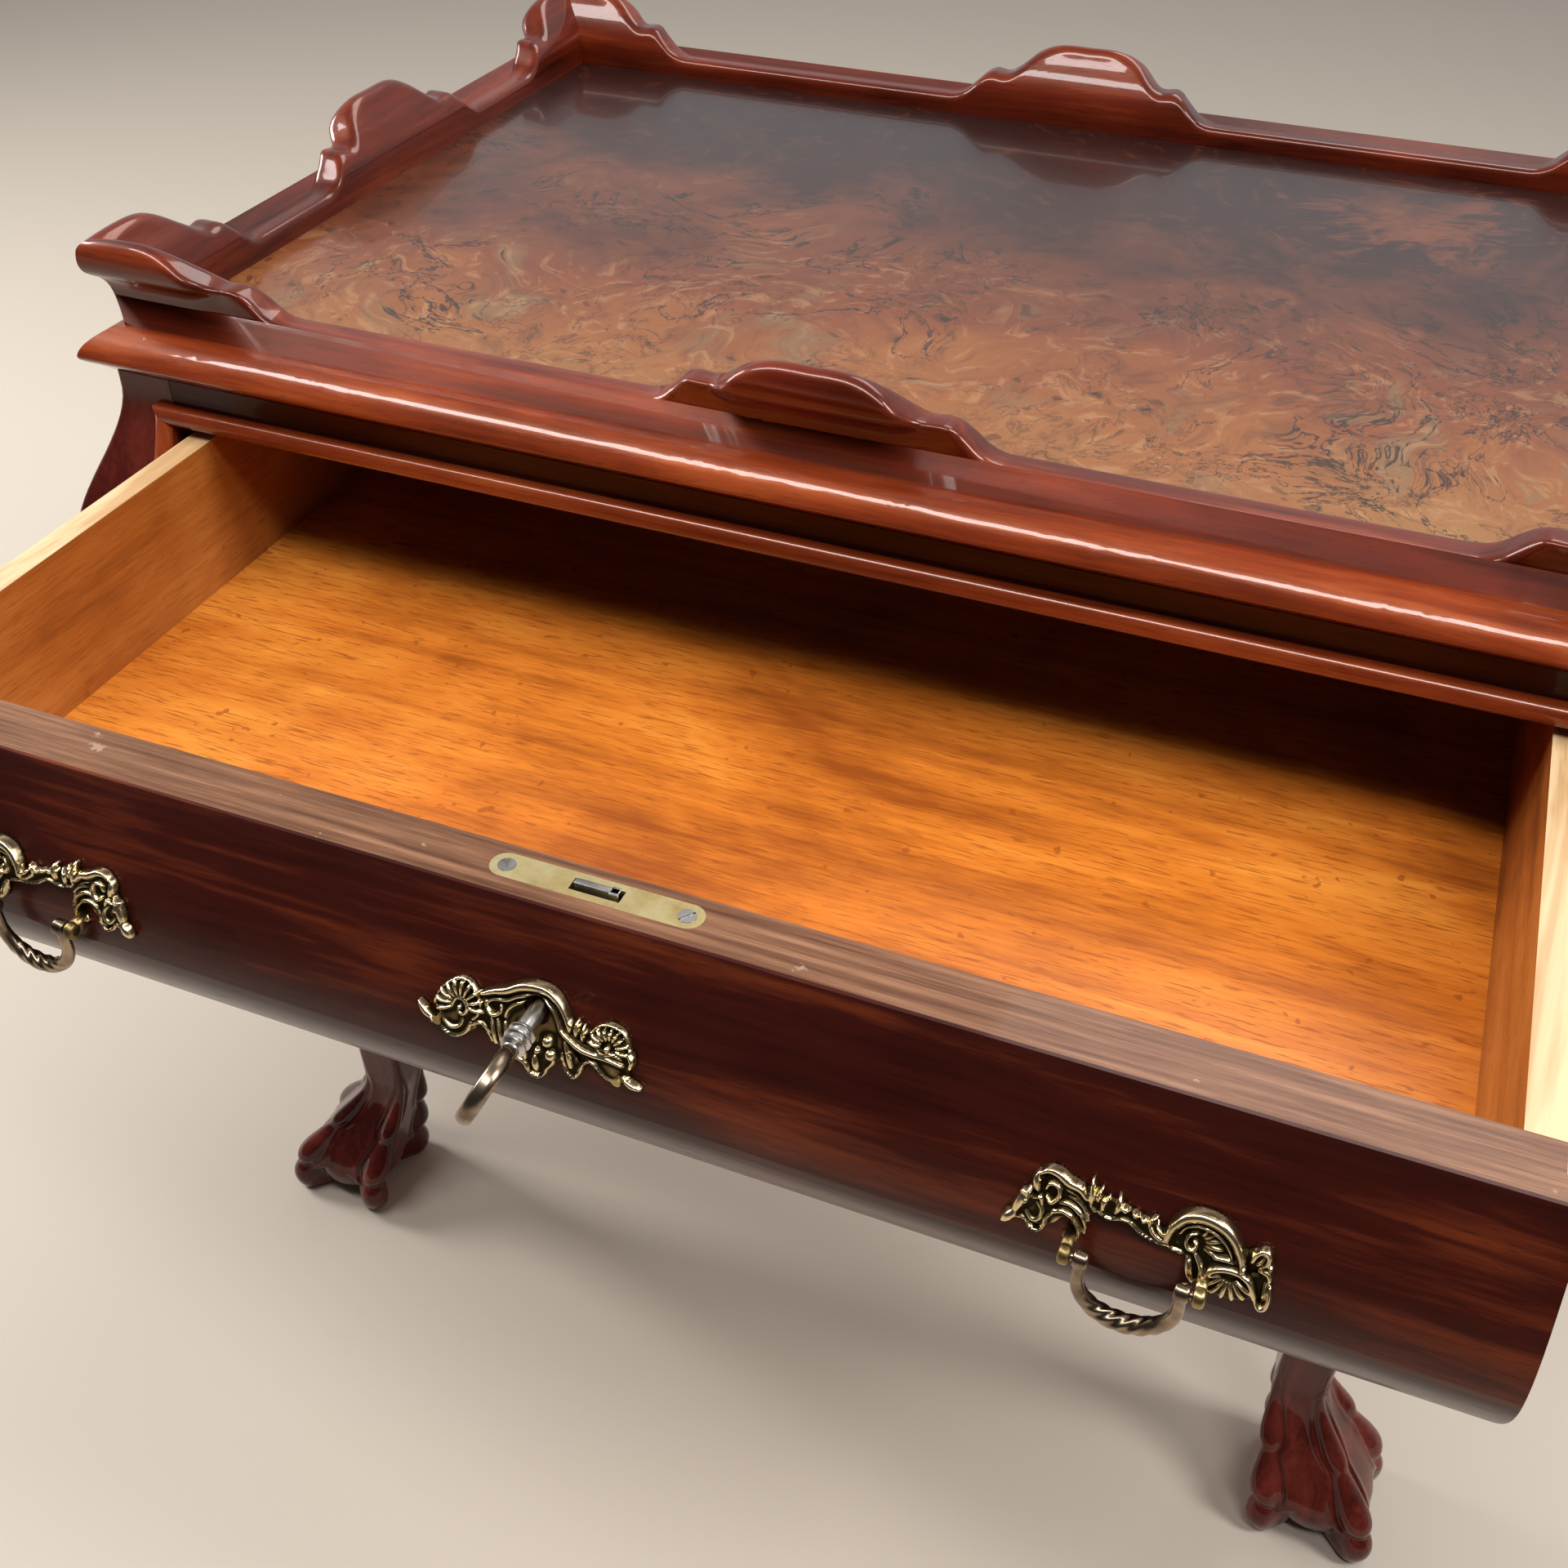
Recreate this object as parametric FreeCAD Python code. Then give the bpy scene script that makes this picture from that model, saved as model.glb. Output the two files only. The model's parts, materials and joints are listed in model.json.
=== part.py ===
# Tea table with a scrolled tray gallery, one long drawer and four claw and ball legs.
# X runs along the table, the front is -Y, and the floor under the tray's centre is the origin.
import FreeCAD, Part
import os
from FreeCAD import Vector

# The tray's surface inside its gallery, and its height above the floor
tray_length = 650.0
tray_width = 416.0
tray_height = 616.0
board_thickness = 15.0

# The gallery, heights taken from the tray's surface
gallery_thickness = 17.1
gallery_seat = 3.7
gallery_low = 10.0
gallery_high = 40.5
gallery_lip = 8.5
lip_height = 26.7
inner_bend = 13.0
nib_height = 24.5
# Crest over each corner and over each rail's middle: distances along the rail
corner_crest = 10.0
corner_shoulder = 40.0
corner_nib = 46.0
corner_foot = 66.0
middle_top = 17.0
middle_shoulder = 31.0
middle_notch = 45.0
middle_nib = 54.0
middle_foot = 76.0
shoulder_height = 35.0

# The moulded cornice under the gallery, depths taken from the tray's surface
cornice_reach = 34.1
cornice_fillet = 2.8
cornice_step = 1.2
cornice_nose = 13.9
cornice_depth = 23.0
cornice_base = 23.6
cornice_ledge = 10.0

# The case's swelling face: how far it stands out from the tray's edge, and at what depth
case_lip = 24.0
case_swell = 50.5
case_waist = 20.0
swell_start = 30.0
swell_depth = 108.0
waist_depth = 175.0
case_depth = 185.0
panel_thickness = 20.0
post_depth = 18.0
leg_return = 17.5

# The drawer's opening and the cock beads round it
opening_inset = 7.5
opening_top = 44.5
opening_height = 100.0
bead_width = 9.5
bead_proud = 6.0
bead_seat = 3.5

# Legs, ankles and feet, heights above the floor
ankle_inset_x = 28.0
ankle_inset_y = 8.0
ankle_height = 90.0
ankle_size = 29.0
foot_inset_x = 3.0
foot_reach_y = 12.0
skirt_size = 57.0
skirt_height = 16.0
ball_radius = 28.0
ball_height = 24.0
toe_inset = 3.5
toe_root_height = 80.0
toe_root_radius = 5.0
knuckle_high = 58.0
knuckle_high_radius = 7.5
knuckle_low = 34.0
knuckle_low_radius = 9.0
claw_height = 13.0
claw_radius = 8.0
claw_tip_radius = 5.5

# The drawer, built closed and drawn open at the end
drawer_open = 223.8
front_top_gap = 3.0
front_bottom_gap = 1.5
front_end_gap = 1.0
front_inner_reach = 4.0
front_end_rebate = 6.5
side_thickness = 11.9
side_height = 86.0
side_top_gap = 0.5
drawer_back_inset = 3.0
drawer_back_thickness = 12.0
bottom_thickness = 8.0
bottom_drop = 72.3
groove_depth = 5.0
groove_end_gap = 0.5
dovetail_depth = 12.0
front_tail_count = 3
back_tail_count = 2
brad_radius = 0.8
brad_length = 20.0
brad_spacing = 220.0

# Strips inside the case that carry and guide the drawer
running_gap = 0.3
runner_width = 40.0
runner_thickness = 22.0
guide_gap = 0.5
guide_width = 20.0
guide_height = 14.0
kicker_inset = 23.5
kicker_width = 20.0
kicker_thickness = 15.0
kicker_gap = 3.0
stop_length = 40.0
stop_height = 12.5
stop_spacing = 400.0
block_length = 40.0
block_depth = 15.0
block_inner_x = 75.0
block_outer_x = 225.0
block_y = 100.0

# Screws from the frieze rail up into the cornice
top_screw_outer = 220.0
top_screw_inner = 80.0
top_screw_reach = 4.0
top_screw_head_radius = 4.0
top_screw_head = 3.0
top_screw_radius = 2.2
top_screw_recess = 3.5
top_screw_tip = 8.0

# The drawer lock, set into the front's top edge, and its striking plate
lock_x = 8.5
lock_setback = 13.72
selvedge_length = 78.0
selvedge_width = 11.5
selvedge_thickness = 2.0
lock_case_length = 48.0
lock_case_height = 45.5
lock_case_width = 9.5
lock_wall = 1.2
lock_screw_spacing = 66.0
lock_screw_head = 3.2
lock_screw_radius = 1.6
lock_screw_length = 14.0
bolt_x = 9.0
bolt_length = 18.0
bolt_thickness = 5.0
bolt_proud = 1.5
bolt_height = 22.5
bolt_gap = 0.3
strike_length = 44.0
strike_width = 14.0
strike_thickness = 1.5
strike_screw_spacing = 34.0
strike_mortise = 10.0

# The key, its pin and its hole
key_drop = 31.5
key_radius = 3.2
key_pin_radius = 1.5
key_pin_length = 19.0
key_bore_gap = 0.05
key_bore_depth = 24.0
key_end_gap = 1.0
keyhole_gap = 0.6
bit_reach = 9.5
bit_width = 2.2
bit_length = 5.0
bit_gap = 0.5
collar_radius = 4.8
collar_length = 2.0
collar_count = 2
collar_standoff = 9.0
bow_radius = 13.0
bow_wire = 2.1
shank_length = 12.0

# Cast mounts on the drawer front
plate_thickness = 3.5
escutcheon_x = -1.0
escutcheon_length = 84.0
escutcheon_height = 34.0
escutcheon_depth = 86.5
escutcheon_pin_radius = 0.8
escutcheon_pin_head = 1.6
escutcheon_pin_proud = 0.8
escutcheon_pin_length = 11.0
handle_inset = 123.0
handle_length = 82.0
handle_height = 30.0
handle_depth = 91.0
bail_offset = 1.5
bail_half = 15.2
bail_wire = 2.6
bail_drop = 8.6
eye_radius = 3.4
pivot_depth = 97.0
pivot_clear = 1.0
bail_pin_radius = 1.5
bail_pin_gap = 0.05
bail_side_gap = 0.4
lug_length = 4.0
lug_radius = 3.6
handle_post_radius = 2.5
handle_post_end = 2.0
nut_size = 10.0
nut_thickness = 4.0

# Shares of a curve's length at which its bends begin
bend_share = 1.0 / 3.0
toe_neck_share = 0.9
dovetail_root_share = 0.52
dovetail_tip_share = 0.68
# The gallery's outer cove and rounded nose, as shares of the lip's reach and height
cove_shares = [(0.0, 0.62), (0.25, 0.83), (0.8, 0.88)]
nose_shares = [(1.0, 0.90), (1.05, 0.97), (1.0, 1.0)]
outer_crest_shares = [(1.0, 1.3), (0.8, 1.44)]
crest_tip_share = 0.28
inner_crest_shares = [(0.9, 1.0), (0.45, 0.72), (0.03, 0.2)]
# The cornice's upper and lower sweeps, as shares of their own run and fall
upper_sweep_shares = [(0.3, 0.08), (0.93, 0.5)]
lower_sweep_shares = [(1.02, 0.3), (0.5, 0.5)]
# Outlines of the cast mounts, as shares of their length and height about their centres:
# each arc runs from one point through the next to the one after
handle_shares = [
    (-0.50, -0.29), (-0.48, -0.11), (-0.44, 0.06), (-0.42, 0.19), (-0.40, 0.20), (-0.39, 0.39),
    (-0.37, 0.39), (-0.30, 0.43), (-0.22, 0.34), (-0.18, 0.44), (-0.14, 0.33), (-0.10, 0.40),
    (-0.06, 0.31), (-0.01, 0.30), (0.06, 0.26), (0.08, 0.15), (0.11, 0.12), (0.25, 0.44),
    (0.39, 0.19), (0.44, 0.33), (0.47, 0.14), (0.50, 0.02), (0.50, -0.07), (0.49, -0.34),
    (0.43, -0.30), (0.36, -0.33), (0.33, -0.45), (0.28, -0.50), (0.25, -0.40), (0.20, -0.26),
    (0.17, -0.03), (0.08, -0.01), (-0.02, 0.10), (-0.08, 0.14), (-0.13, -0.03), (-0.15, -0.14),
    (-0.19, -0.21), (-0.23, -0.29), (-0.27, -0.17), (-0.29, -0.05), (-0.31, -0.07), (-0.34, -0.26),
    (-0.42, -0.16), (-0.46, -0.22)]
escutcheon_shares = [
    (-0.50, -0.08), (-0.48, -0.01), (-0.44, 0.00), (-0.41, 0.20), (-0.35, 0.32), (-0.31, 0.37),
    (-0.25, 0.27), (-0.22, 0.24), (-0.18, 0.32), (-0.12, 0.37), (-0.08, 0.44), (-0.01, 0.49),
    (0.07, 0.50), (0.13, 0.42), (0.16, 0.27), (0.19, 0.30), (0.24, 0.23), (0.25, 0.20),
    (0.27, 0.24), (0.33, 0.32), (0.41, 0.22), (0.43, 0.10), (0.44, -0.08), (0.48, -0.14),
    (0.50, -0.22), (0.46, -0.28), (0.42, -0.25), (0.35, -0.31), (0.31, -0.21), (0.26, -0.11),
    (0.23, -0.27), (0.20, -0.39), (0.16, -0.33), (0.13, -0.31), (0.10, -0.30), (0.08, -0.43),
    (0.01, -0.50), (-0.01, -0.42), (-0.06, -0.35), (-0.10, -0.33), (-0.16, -0.28), (-0.19, -0.16),
    (-0.23, -0.08), (-0.27, -0.13), (-0.28, -0.21), (-0.34, -0.32), (-0.41, -0.25), (-0.45, -0.16)]
escutcheon_pin_shares = [(-0.41, -0.12), (0.39, -0.17)]
# Half the plain patch of the drawer's face that a plate is cut from
patch_share = 0.6

# One overrun serves every cut
overrun = 5.0

half_length = tray_length / 2
half_width = tray_width / 2
opening_half = half_length - opening_inset
post_inner_y = half_width - post_depth
leg_inner_x = opening_half - leg_return
ankle_x = half_length - ankle_inset_x
handle_x = half_length - handle_inset
ankle_y = half_width - ankle_inset_y
foot_x = half_length - foot_inset_x
foot_y = half_width + foot_reach_y
front_inner_y = half_width + front_inner_reach
drawer_back_y = half_width - drawer_back_inset
kicker_inner_x = opening_half - kicker_inset
X_AXIS = Vector(1, 0, 0)
Y_AXIS = Vector(0, 1, 0)
Z_AXIS = Vector(0, 0, 1)


def below(depth):
    return tray_height - depth


case_profile = [
    (case_lip, below(cornice_depth)), (case_lip, below(swell_start)), (case_swell, below(swell_depth)),
    (case_waist, below(waist_depth)), (case_waist, below(case_depth))]
opening_bottom = opening_top + opening_height
front_top = below(opening_top + front_top_gap)
front_bottom = below(opening_bottom - front_bottom_gap)
front_half = opening_half - front_end_gap


def side_plane(base_y):
    return lambda along, height: Vector(along, base_y, height)


def front_plane(base_x):
    # The first number runs forward from the table's centre line
    return lambda forward, height: Vector(base_x, -forward, height)


def plan_plane(height):
    return lambda along, forward: Vector(along, -forward, height)


def smooth(share):
    return share * share * (3 - 2 * share)


def reach_at(height):
    # How far the case's face stands out from the tray's edge at a height
    for (upper_reach, upper), (lower_reach, lower) in zip(case_profile, case_profile[1:]):
        if height >= lower:
            share = (upper - height) / (upper - lower)
            return upper_reach + (lower_reach - upper_reach) * smooth(share)
    return case_waist


class Outline:
    # A closed outline, drawn point by point in the plane that place() sets in space
    def __init__(self, place, start):
        self.place = place
        self.first = start
        self.last = start
        self.edges = []

    def line(self, *ends):
        for end in ends:
            self.edges.append(Part.makeLine(self.place(*self.last), self.place(*end)))
            self.last = end
        return self

    def curve(self, first, second, end):
        bend = Part.BezierCurve()
        bend.setPoles([self.place(*pole) for pole in (self.last, first, second, end)])
        self.edges.append(bend.toShape())
        self.last = end
        return self

    def arc(self, middle, end):
        ends = [self.place(*point) for point in (self.last, middle, end)]
        self.edges.append(Part.Arc(*ends).toShape())
        self.last = end
        return self

    def upright(self, end):
        # An S whose two ends stand upright, or a straight line where there is no shift
        (across, height), (end_across, end_height) = self.last, end
        if across == end_across:
            return self.line(end)
        third = (end_height - height) * bend_share
        return self.curve((across, height + third), (end_across, end_height - third), end)

    def level(self, end):
        # An S whose two ends lie level, or a straight line where there is no rise
        (along, height), (end_along, end_height) = self.last, end
        if height == end_height:
            return self.line(end)
        third = (end_along - along) * bend_share
        return self.curve((along + third, height), (end_along - third, end_height), end)

    def swell(self, base, start, end):
        # The case's face from one height to another, base being the tray's edge it stands out from
        top, bottom = max(start, end), min(start, end)
        pieces = []
        for (upper_reach, upper), (lower_reach, lower) in zip(case_profile, case_profile[1:]):
            high, low = min(top, upper), max(bottom, lower)
            if low >= high:
                continue
            if upper_reach == lower_reach:
                ends = [self.place(base + upper_reach, high), self.place(base + upper_reach, low)]
                pieces.append(Part.makeLine(*ends))
                continue
            third = (upper - lower) * bend_share
            bend = Part.BezierCurve()
            bend.setPoles([
                self.place(base + upper_reach, upper), self.place(base + upper_reach, upper - third),
                self.place(base + lower_reach, lower + third), self.place(base + lower_reach, lower)])
            bend.segment((upper - high) / (upper - lower), (upper - low) / (upper - lower))
            pieces.append(bend.toShape())
        self.edges += pieces if start > end else pieces[::-1]
        self.last = (base + reach_at(end), end)
        return self

    def face(self):
        if self.last != self.first:
            self.line(self.first)
        return Part.Face(Part.Wire(Part.__sortEdges__(self.edges)))

    def solid(self, sweep):
        return self.face().extrude(sweep)


def block(low, high):
    size = high - low
    return Part.makeBox(size.x, size.y, size.z, low)


def rod(radius, start, end):
    run = end - start
    return Part.makeCylinder(radius, run.Length, start, run)


def mirror_x(shape):
    return shape.mirror(Vector(0, 0, 0), X_AXIS)


def mirror_y(shape):
    return shape.mirror(Vector(0, 0, 0), Y_AXIS)


def both_sides(shape):
    return [shape, mirror_x(shape)]


def turned(shape):
    # Half a turn about the table's upright centre line
    return shape.copy().rotated(Vector(0, 0, 0), Z_AXIS, 180)


def fused(shapes):
    whole = shapes[0]
    for shape in shapes[1:]:
        whole = whole.fuse(shape)
    return whole


def save(name, shape):
    solids = shape.Solids
    result = solids[0] if len(solids) == 1 else Part.makeCompound(solids)
    result.exportStep(os.path.join("parts", name + ".step"))
    print(name, len(solids), "solids", result.isValid(), round(result.Volume))


# Tray top: board, cornice and gallery
def mitre_wedge(half_run, outward, inward, low, high):
    # What lies between the two mitre planes of the front rail, seen in plan
    edge = half_width if half_run == half_length else half_length
    outline = Outline(plan_plane(low), (half_run + outward, edge + outward))
    outline.line((-half_run - outward, edge + outward), (-half_run + inward, edge - inward))
    outline.line((half_run - inward, edge - inward))
    return outline.solid(Vector(0, 0, high - low))


def cornice_section(base_x, edge):
    top = below(gallery_seat)
    fillet_reach = gallery_thickness + cornice_fillet
    fillet_top = top + cornice_step
    nose = below(cornice_nose)
    bottom = below(cornice_depth)
    run, fall = cornice_reach - fillet_reach, fillet_top - nose
    base_run, base_fall = cornice_reach - cornice_base, nose - bottom
    outline = Outline(front_plane(base_x), (edge, below(board_thickness)))
    outline.line((edge, top), (edge + gallery_thickness, top), (edge + gallery_thickness, fillet_top))
    outline.line((edge + fillet_reach, fillet_top))
    first, second = [(edge + fillet_reach + run * a, fillet_top - fall * b) for a, b in upper_sweep_shares]
    outline.curve(first, second, (edge + cornice_reach, nose))
    base = edge + cornice_base
    first, second = [(base + base_run * a, nose - base_fall * b) for a, b in lower_sweep_shares]
    outline.curve(first, second, (base, bottom))
    outline.line((edge - cornice_ledge, bottom), (edge - cornice_ledge, below(board_thickness)))
    return outline


def gallery_section(base_x, edge):
    # Upright inside and out, then a cove outside that runs to a rolled lip
    wall = edge + gallery_thickness
    lift = gallery_high - inner_bend
    tip = wall + gallery_lip * crest_tip_share

    def at_lip(shares):
        return [(wall + gallery_lip * a, tray_height + lip_height * b) for a, b in shares]

    outline = Outline(front_plane(base_x), (edge, below(gallery_seat)))
    outline.line((wall, below(gallery_seat)), (wall, tray_height + gallery_low))
    outline.curve(*at_lip(cove_shares))
    outline.curve(*at_lip(nose_shares))
    outline.curve(*at_lip(outer_crest_shares), (tip, tray_height + gallery_high))
    crest, lean, foot = [
        (edge + (tip - edge) * a, tray_height + inner_bend + lift * b) for a, b in inner_crest_shares]
    outline.line(crest)
    outline.curve(lean, foot, (edge, tray_height + inner_bend))
    return outline


def gallery_skyline(half_run):
    # Half of the rail's top edge, from its middle to past its mitre
    peak = tray_height + gallery_high + overrun
    nib = tray_height + nib_height
    low = tray_height + gallery_low
    return [
        (middle_top, peak), (middle_shoulder, tray_height + shoulder_height), (middle_notch, nib),
        (middle_nib, nib), (middle_foot, low), (half_run - corner_foot, low), (half_run - corner_nib, nib),
        (half_run - corner_shoulder, nib), (half_run - corner_crest, peak),
        (half_run + gallery_thickness + gallery_lip + overrun, peak)]


def gallery_rail(half_run, edge):
    far = half_run + gallery_thickness + gallery_lip + overrun
    section = gallery_section(-far, edge).solid(Vector(2 * far, 0, 0))
    skyline = gallery_skyline(half_run)
    base = below(gallery_seat + overrun)
    outline = Outline(side_plane(-edge + overrun), (-skyline[-1][0], base))
    left = [(-along, height) for along, height in reversed(skyline)]
    outline.line(left[0])
    for point in left[1:] + skyline:
        outline.level(point)
    outline.line((skyline[-1][0], base))
    shape = outline.solid(Vector(0, -gallery_thickness - gallery_lip - 2 * overrun, 0))
    wedge = mitre_wedge(
        half_run, gallery_thickness + gallery_lip + overrun, overrun,
        below(gallery_seat + overrun), tray_height + gallery_high + overrun)
    return section.common(shape).common(wedge)


def cornice_rail(half_run, edge):
    far = half_run + cornice_reach + overrun
    section = cornice_section(-far, edge).solid(Vector(2 * far, 0, 0))
    wedge = mitre_wedge(
        half_run, cornice_reach + overrun, cornice_ledge + overrun,
        below(cornice_depth + overrun), tray_height)
    return section.common(wedge)


def quarter(shape):
    return shape.copy().rotated(Vector(0, 0, 0), Z_AXIS, 90)


def make_top():
    rails = {}
    for kind, rail in (("gallery", gallery_rail), ("cornice", cornice_rail)):
        front = rail(half_length, half_width)
        right = quarter(rail(half_width, half_length))
        rails[kind + "_front"] = front
        rails[kind + "_back"] = turned(front)
        rails[kind + "_right"] = right
        rails[kind + "_left"] = turned(right)
    corner = Vector(half_length, half_width, 0)
    rails["tray_board"] = block(
        Vector(0, 0, below(board_thickness)) - corner, Vector(0, 0, tray_height) + corner)
    return rails


# Legs: post, leg and foot in one piece of wood
def leg_outline(outline, base, post, lower_post, ankle, foot):
    # Down the case's face to the ankle and out to the foot, and back up the inner side
    half_ankle = ankle_size / 2
    half_skirt = skirt_size / 2
    outline.line((base + case_lip, below(cornice_depth)))
    outline.swell(base, below(cornice_depth), below(case_depth))
    outline.upright((ankle + half_ankle, ankle_height))
    outline.upright((foot + half_skirt, skirt_height))
    outline.line((foot - half_skirt, skirt_height))
    outline.upright((ankle - half_ankle, ankle_height))
    outline.upright((lower_post, below(case_depth)))
    if lower_post != post:
        outline.line((lower_post, below(opening_bottom)), (post, below(opening_bottom)))
    return outline


def toe_point(side_x, side_y, height):
    # The toe's middle line, from the ankle's corner out to the foot's corner
    share = smooth((ankle_height - height) / (ankle_height - skirt_height)) if height > skirt_height else 1
    across = ankle_size / 2 + (skirt_size - ankle_size) / 2 * share - toe_inset
    x = ankle_x + (foot_x - ankle_x) * share + side_x * across
    y = ankle_y + (foot_y - ankle_y) * share + side_y * across
    return Vector(x, -y, height)


def toe(side_x, side_y):
    # Two knuckles, a hollow between them, and a claw that grips the ball down to the floor
    joints = [
        (toe_root_height, toe_root_radius), (knuckle_high, knuckle_high_radius),
        (knuckle_low, knuckle_low_radius), (claw_height, claw_radius), (claw_tip_radius, claw_tip_radius)]
    pieces = []
    for height, radius in joints:
        pieces.append(Part.makeSphere(radius, toe_point(side_x, side_y, height)))
    for (upper, upper_radius), (lower, lower_radius) in zip(joints, joints[1:]):
        start = toe_point(side_x, side_y, upper)
        end = toe_point(side_x, side_y, lower)
        thin = min(upper_radius, lower_radius) * toe_neck_share
        pieces.append(rod(thin, start, end))
    return pieces


def front_right_leg():
    deep = foot_y + skirt_size
    wide = foot_x + skirt_size
    seen_front = leg_outline(
        Outline(side_plane(0), (opening_half, below(cornice_depth))),
        half_length, opening_half, leg_inner_x, ankle_x, foot_x).solid(Vector(0, -deep, 0))
    seen_side = leg_outline(
        Outline(front_plane(0), (post_inner_y, below(cornice_depth))),
        half_width, post_inner_y, post_inner_y, ankle_y, foot_y).solid(Vector(wide, 0, 0))
    body = seen_front.common(seen_side)
    pieces = [body, Part.makeSphere(ball_radius, Vector(foot_x, -foot_y, ball_height))]
    for side_x in (-1, 1):
        for side_y in (-1, 1):
            pieces += toe(side_x, side_y)
    whole = pieces[0].multiFuse(pieces[1:])
    floor = block(Vector(0, -deep - skirt_size, -ball_radius), Vector(wide + skirt_size, 0, 0))
    return whole.cut(floor)


# Case: panels and rails between the posts
def rail_block(top, bottom, inner_y):
    outline = Outline(front_plane(-opening_half), (inner_y, top))
    outline.line((half_width + reach_at(top), top))
    outline.swell(half_width, top, bottom)
    outline.line((inner_y, bottom))
    return outline.solid(Vector(2 * opening_half, 0, 0))


def swelling_panel(outline, base):
    top, bottom = below(cornice_depth), below(case_depth)
    outline.line((base + reach_at(top), top))
    outline.swell(base, top, bottom)
    outline.line((base - panel_thickness + reach_at(bottom), bottom))
    outline.swell(base - panel_thickness, bottom, top)
    return outline


def make_case():
    top = below(cornice_depth)
    side = swelling_panel(
        Outline(side_plane(-post_inner_y), (half_length + case_lip - panel_thickness, top)), half_length)
    side_right = side.solid(Vector(0, 2 * post_inner_y, 0))
    back = swelling_panel(
        Outline(front_plane(-opening_half), (half_width + case_lip - panel_thickness, top)), half_width)
    back_panel = mirror_y(back.solid(Vector(2 * opening_half, 0, 0)))
    frieze = rail_block(top, below(opening_top), post_inner_y)
    lower = rail_block(below(opening_bottom), below(case_depth), post_inner_y)
    leg_root = block(
        Vector(leg_inner_x, -half_width - case_swell, below(case_depth + overrun)),
        Vector(opening_half + overrun, 0, below(opening_bottom)))
    for beyond in both_sides(leg_root):
        lower = lower.cut(beyond)
        back_panel = back_panel.cut(mirror_y(beyond))
    return {
        "side_panel_right": side_right, "side_panel_left": mirror_x(side_right), "back_panel": back_panel,
        "frieze_rail": frieze, "lower_rail": lower}


# Cock beads round the opening, let into rebates of the rails and posts
def bead_between(upper, lower):
    far = opening_half + bead_width
    start = (half_width + reach_at(upper), upper)
    end = (half_width + reach_at(lower), lower)
    run = Vector(end[0] - start[0], end[1] - start[1], 0)
    out = Vector(-run.y, run.x, 0).normalize()
    middle = (
        (start[0] + end[0]) / 2 + out.x * bead_proud, (start[1] + end[1]) / 2 + out.y * bead_proud)
    outline = Outline(front_plane(-far), start)
    outline.arc(middle, end)
    outline.line((end[0] - bead_seat, lower), (start[0] - bead_seat, upper))
    return outline.solid(Vector(2 * far, 0, 0))


def bead_upright():
    # The half-round follows the post's swelling face
    upper, lower = below(opening_top - bead_width), below(opening_bottom + bead_width)
    path = Outline(front_plane(opening_half + bead_width / 2), (half_width + reach_at(upper), upper))
    path.swell(half_width, upper, lower)
    spine = Part.Wire(path.edges)
    base = half_width + reach_at(upper)
    section = Outline(plan_plane(upper), (opening_half, base))
    section.arc((opening_half + bead_width / 2, base + bead_proud), (opening_half + bead_width, base))
    section.line((opening_half + bead_width, base - bead_seat), (opening_half, base - bead_seat))
    section.line(section.first)
    return spine.makePipeShell([Part.Wire(section.edges)], True, False)


def bead_wedge(points):
    deep = half_width + case_swell + bead_proud + overrun
    outline = Outline(side_plane(0), points[0]).line(*points[1:])
    return outline.solid(Vector(0, -deep, 0))


def make_beads():
    inner_top, inner_low = below(opening_top), below(opening_bottom)
    outer_top, outer_low = inner_top + bead_width, inner_low - bead_width
    outer = opening_half + bead_width
    top = bead_between(outer_top, inner_top).common(bead_wedge([
        (-opening_half, inner_top), (opening_half, inner_top), (outer, outer_top), (-outer, outer_top)]))
    bottom = bead_between(inner_low, outer_low).common(bead_wedge([
        (-opening_half, inner_low), (opening_half, inner_low), (outer, outer_low), (-outer, outer_low)]))
    right = bead_upright().common(bead_wedge([
        (opening_half, inner_top), (outer, outer_top), (outer, outer_low), (opening_half, inner_low)]))
    return {"bead_top": top, "bead_bottom": bottom, "bead_right": right, "bead_left": mirror_x(right)}


# Strips inside the case
side_outer = front_half - front_end_rebate
side_inner = side_outer - side_thickness
side_top = front_top - side_top_gap
side_bottom = side_top - side_height
bottom_top = front_top - bottom_drop - side_top_gap
bottom_low = bottom_top - bottom_thickness


def make_strips(back_panel):
    back = half_width + case_swell
    runner_top = side_bottom - running_gap
    guide_inner = side_outer + guide_gap
    runner_inner = guide_inner + guide_width - runner_width
    shapes = {
        "runner": block(
            Vector(runner_inner, -post_inner_y, runner_top - runner_thickness),
            Vector(guide_inner + guide_width, post_inner_y, runner_top)),
        "guide": block(
            Vector(guide_inner, -post_inner_y, runner_top),
            Vector(guide_inner + guide_width, post_inner_y, runner_top + guide_height)),
        "kicker": block(
            Vector(kicker_inner_x, -post_inner_y, side_top + kicker_gap),
            Vector(kicker_inner_x + kicker_width, back, side_top + kicker_gap + kicker_thickness))}
    strips = {}
    for name, shape in shapes.items():
        strip = shape.cut(back_panel).Solids[0]
        strips[name + "_right"] = strip
        strips[name + "_left"] = mirror_x(strip)
    stop = block(
        Vector(stop_spacing / 2, running_gap - front_inner_y, below(opening_bottom)),
        Vector(stop_spacing / 2 + stop_length, -post_inner_y, below(opening_bottom) + stop_height))
    strips["drawer_stops"] = Part.makeCompound(both_sides(stop))
    return strips


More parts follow.
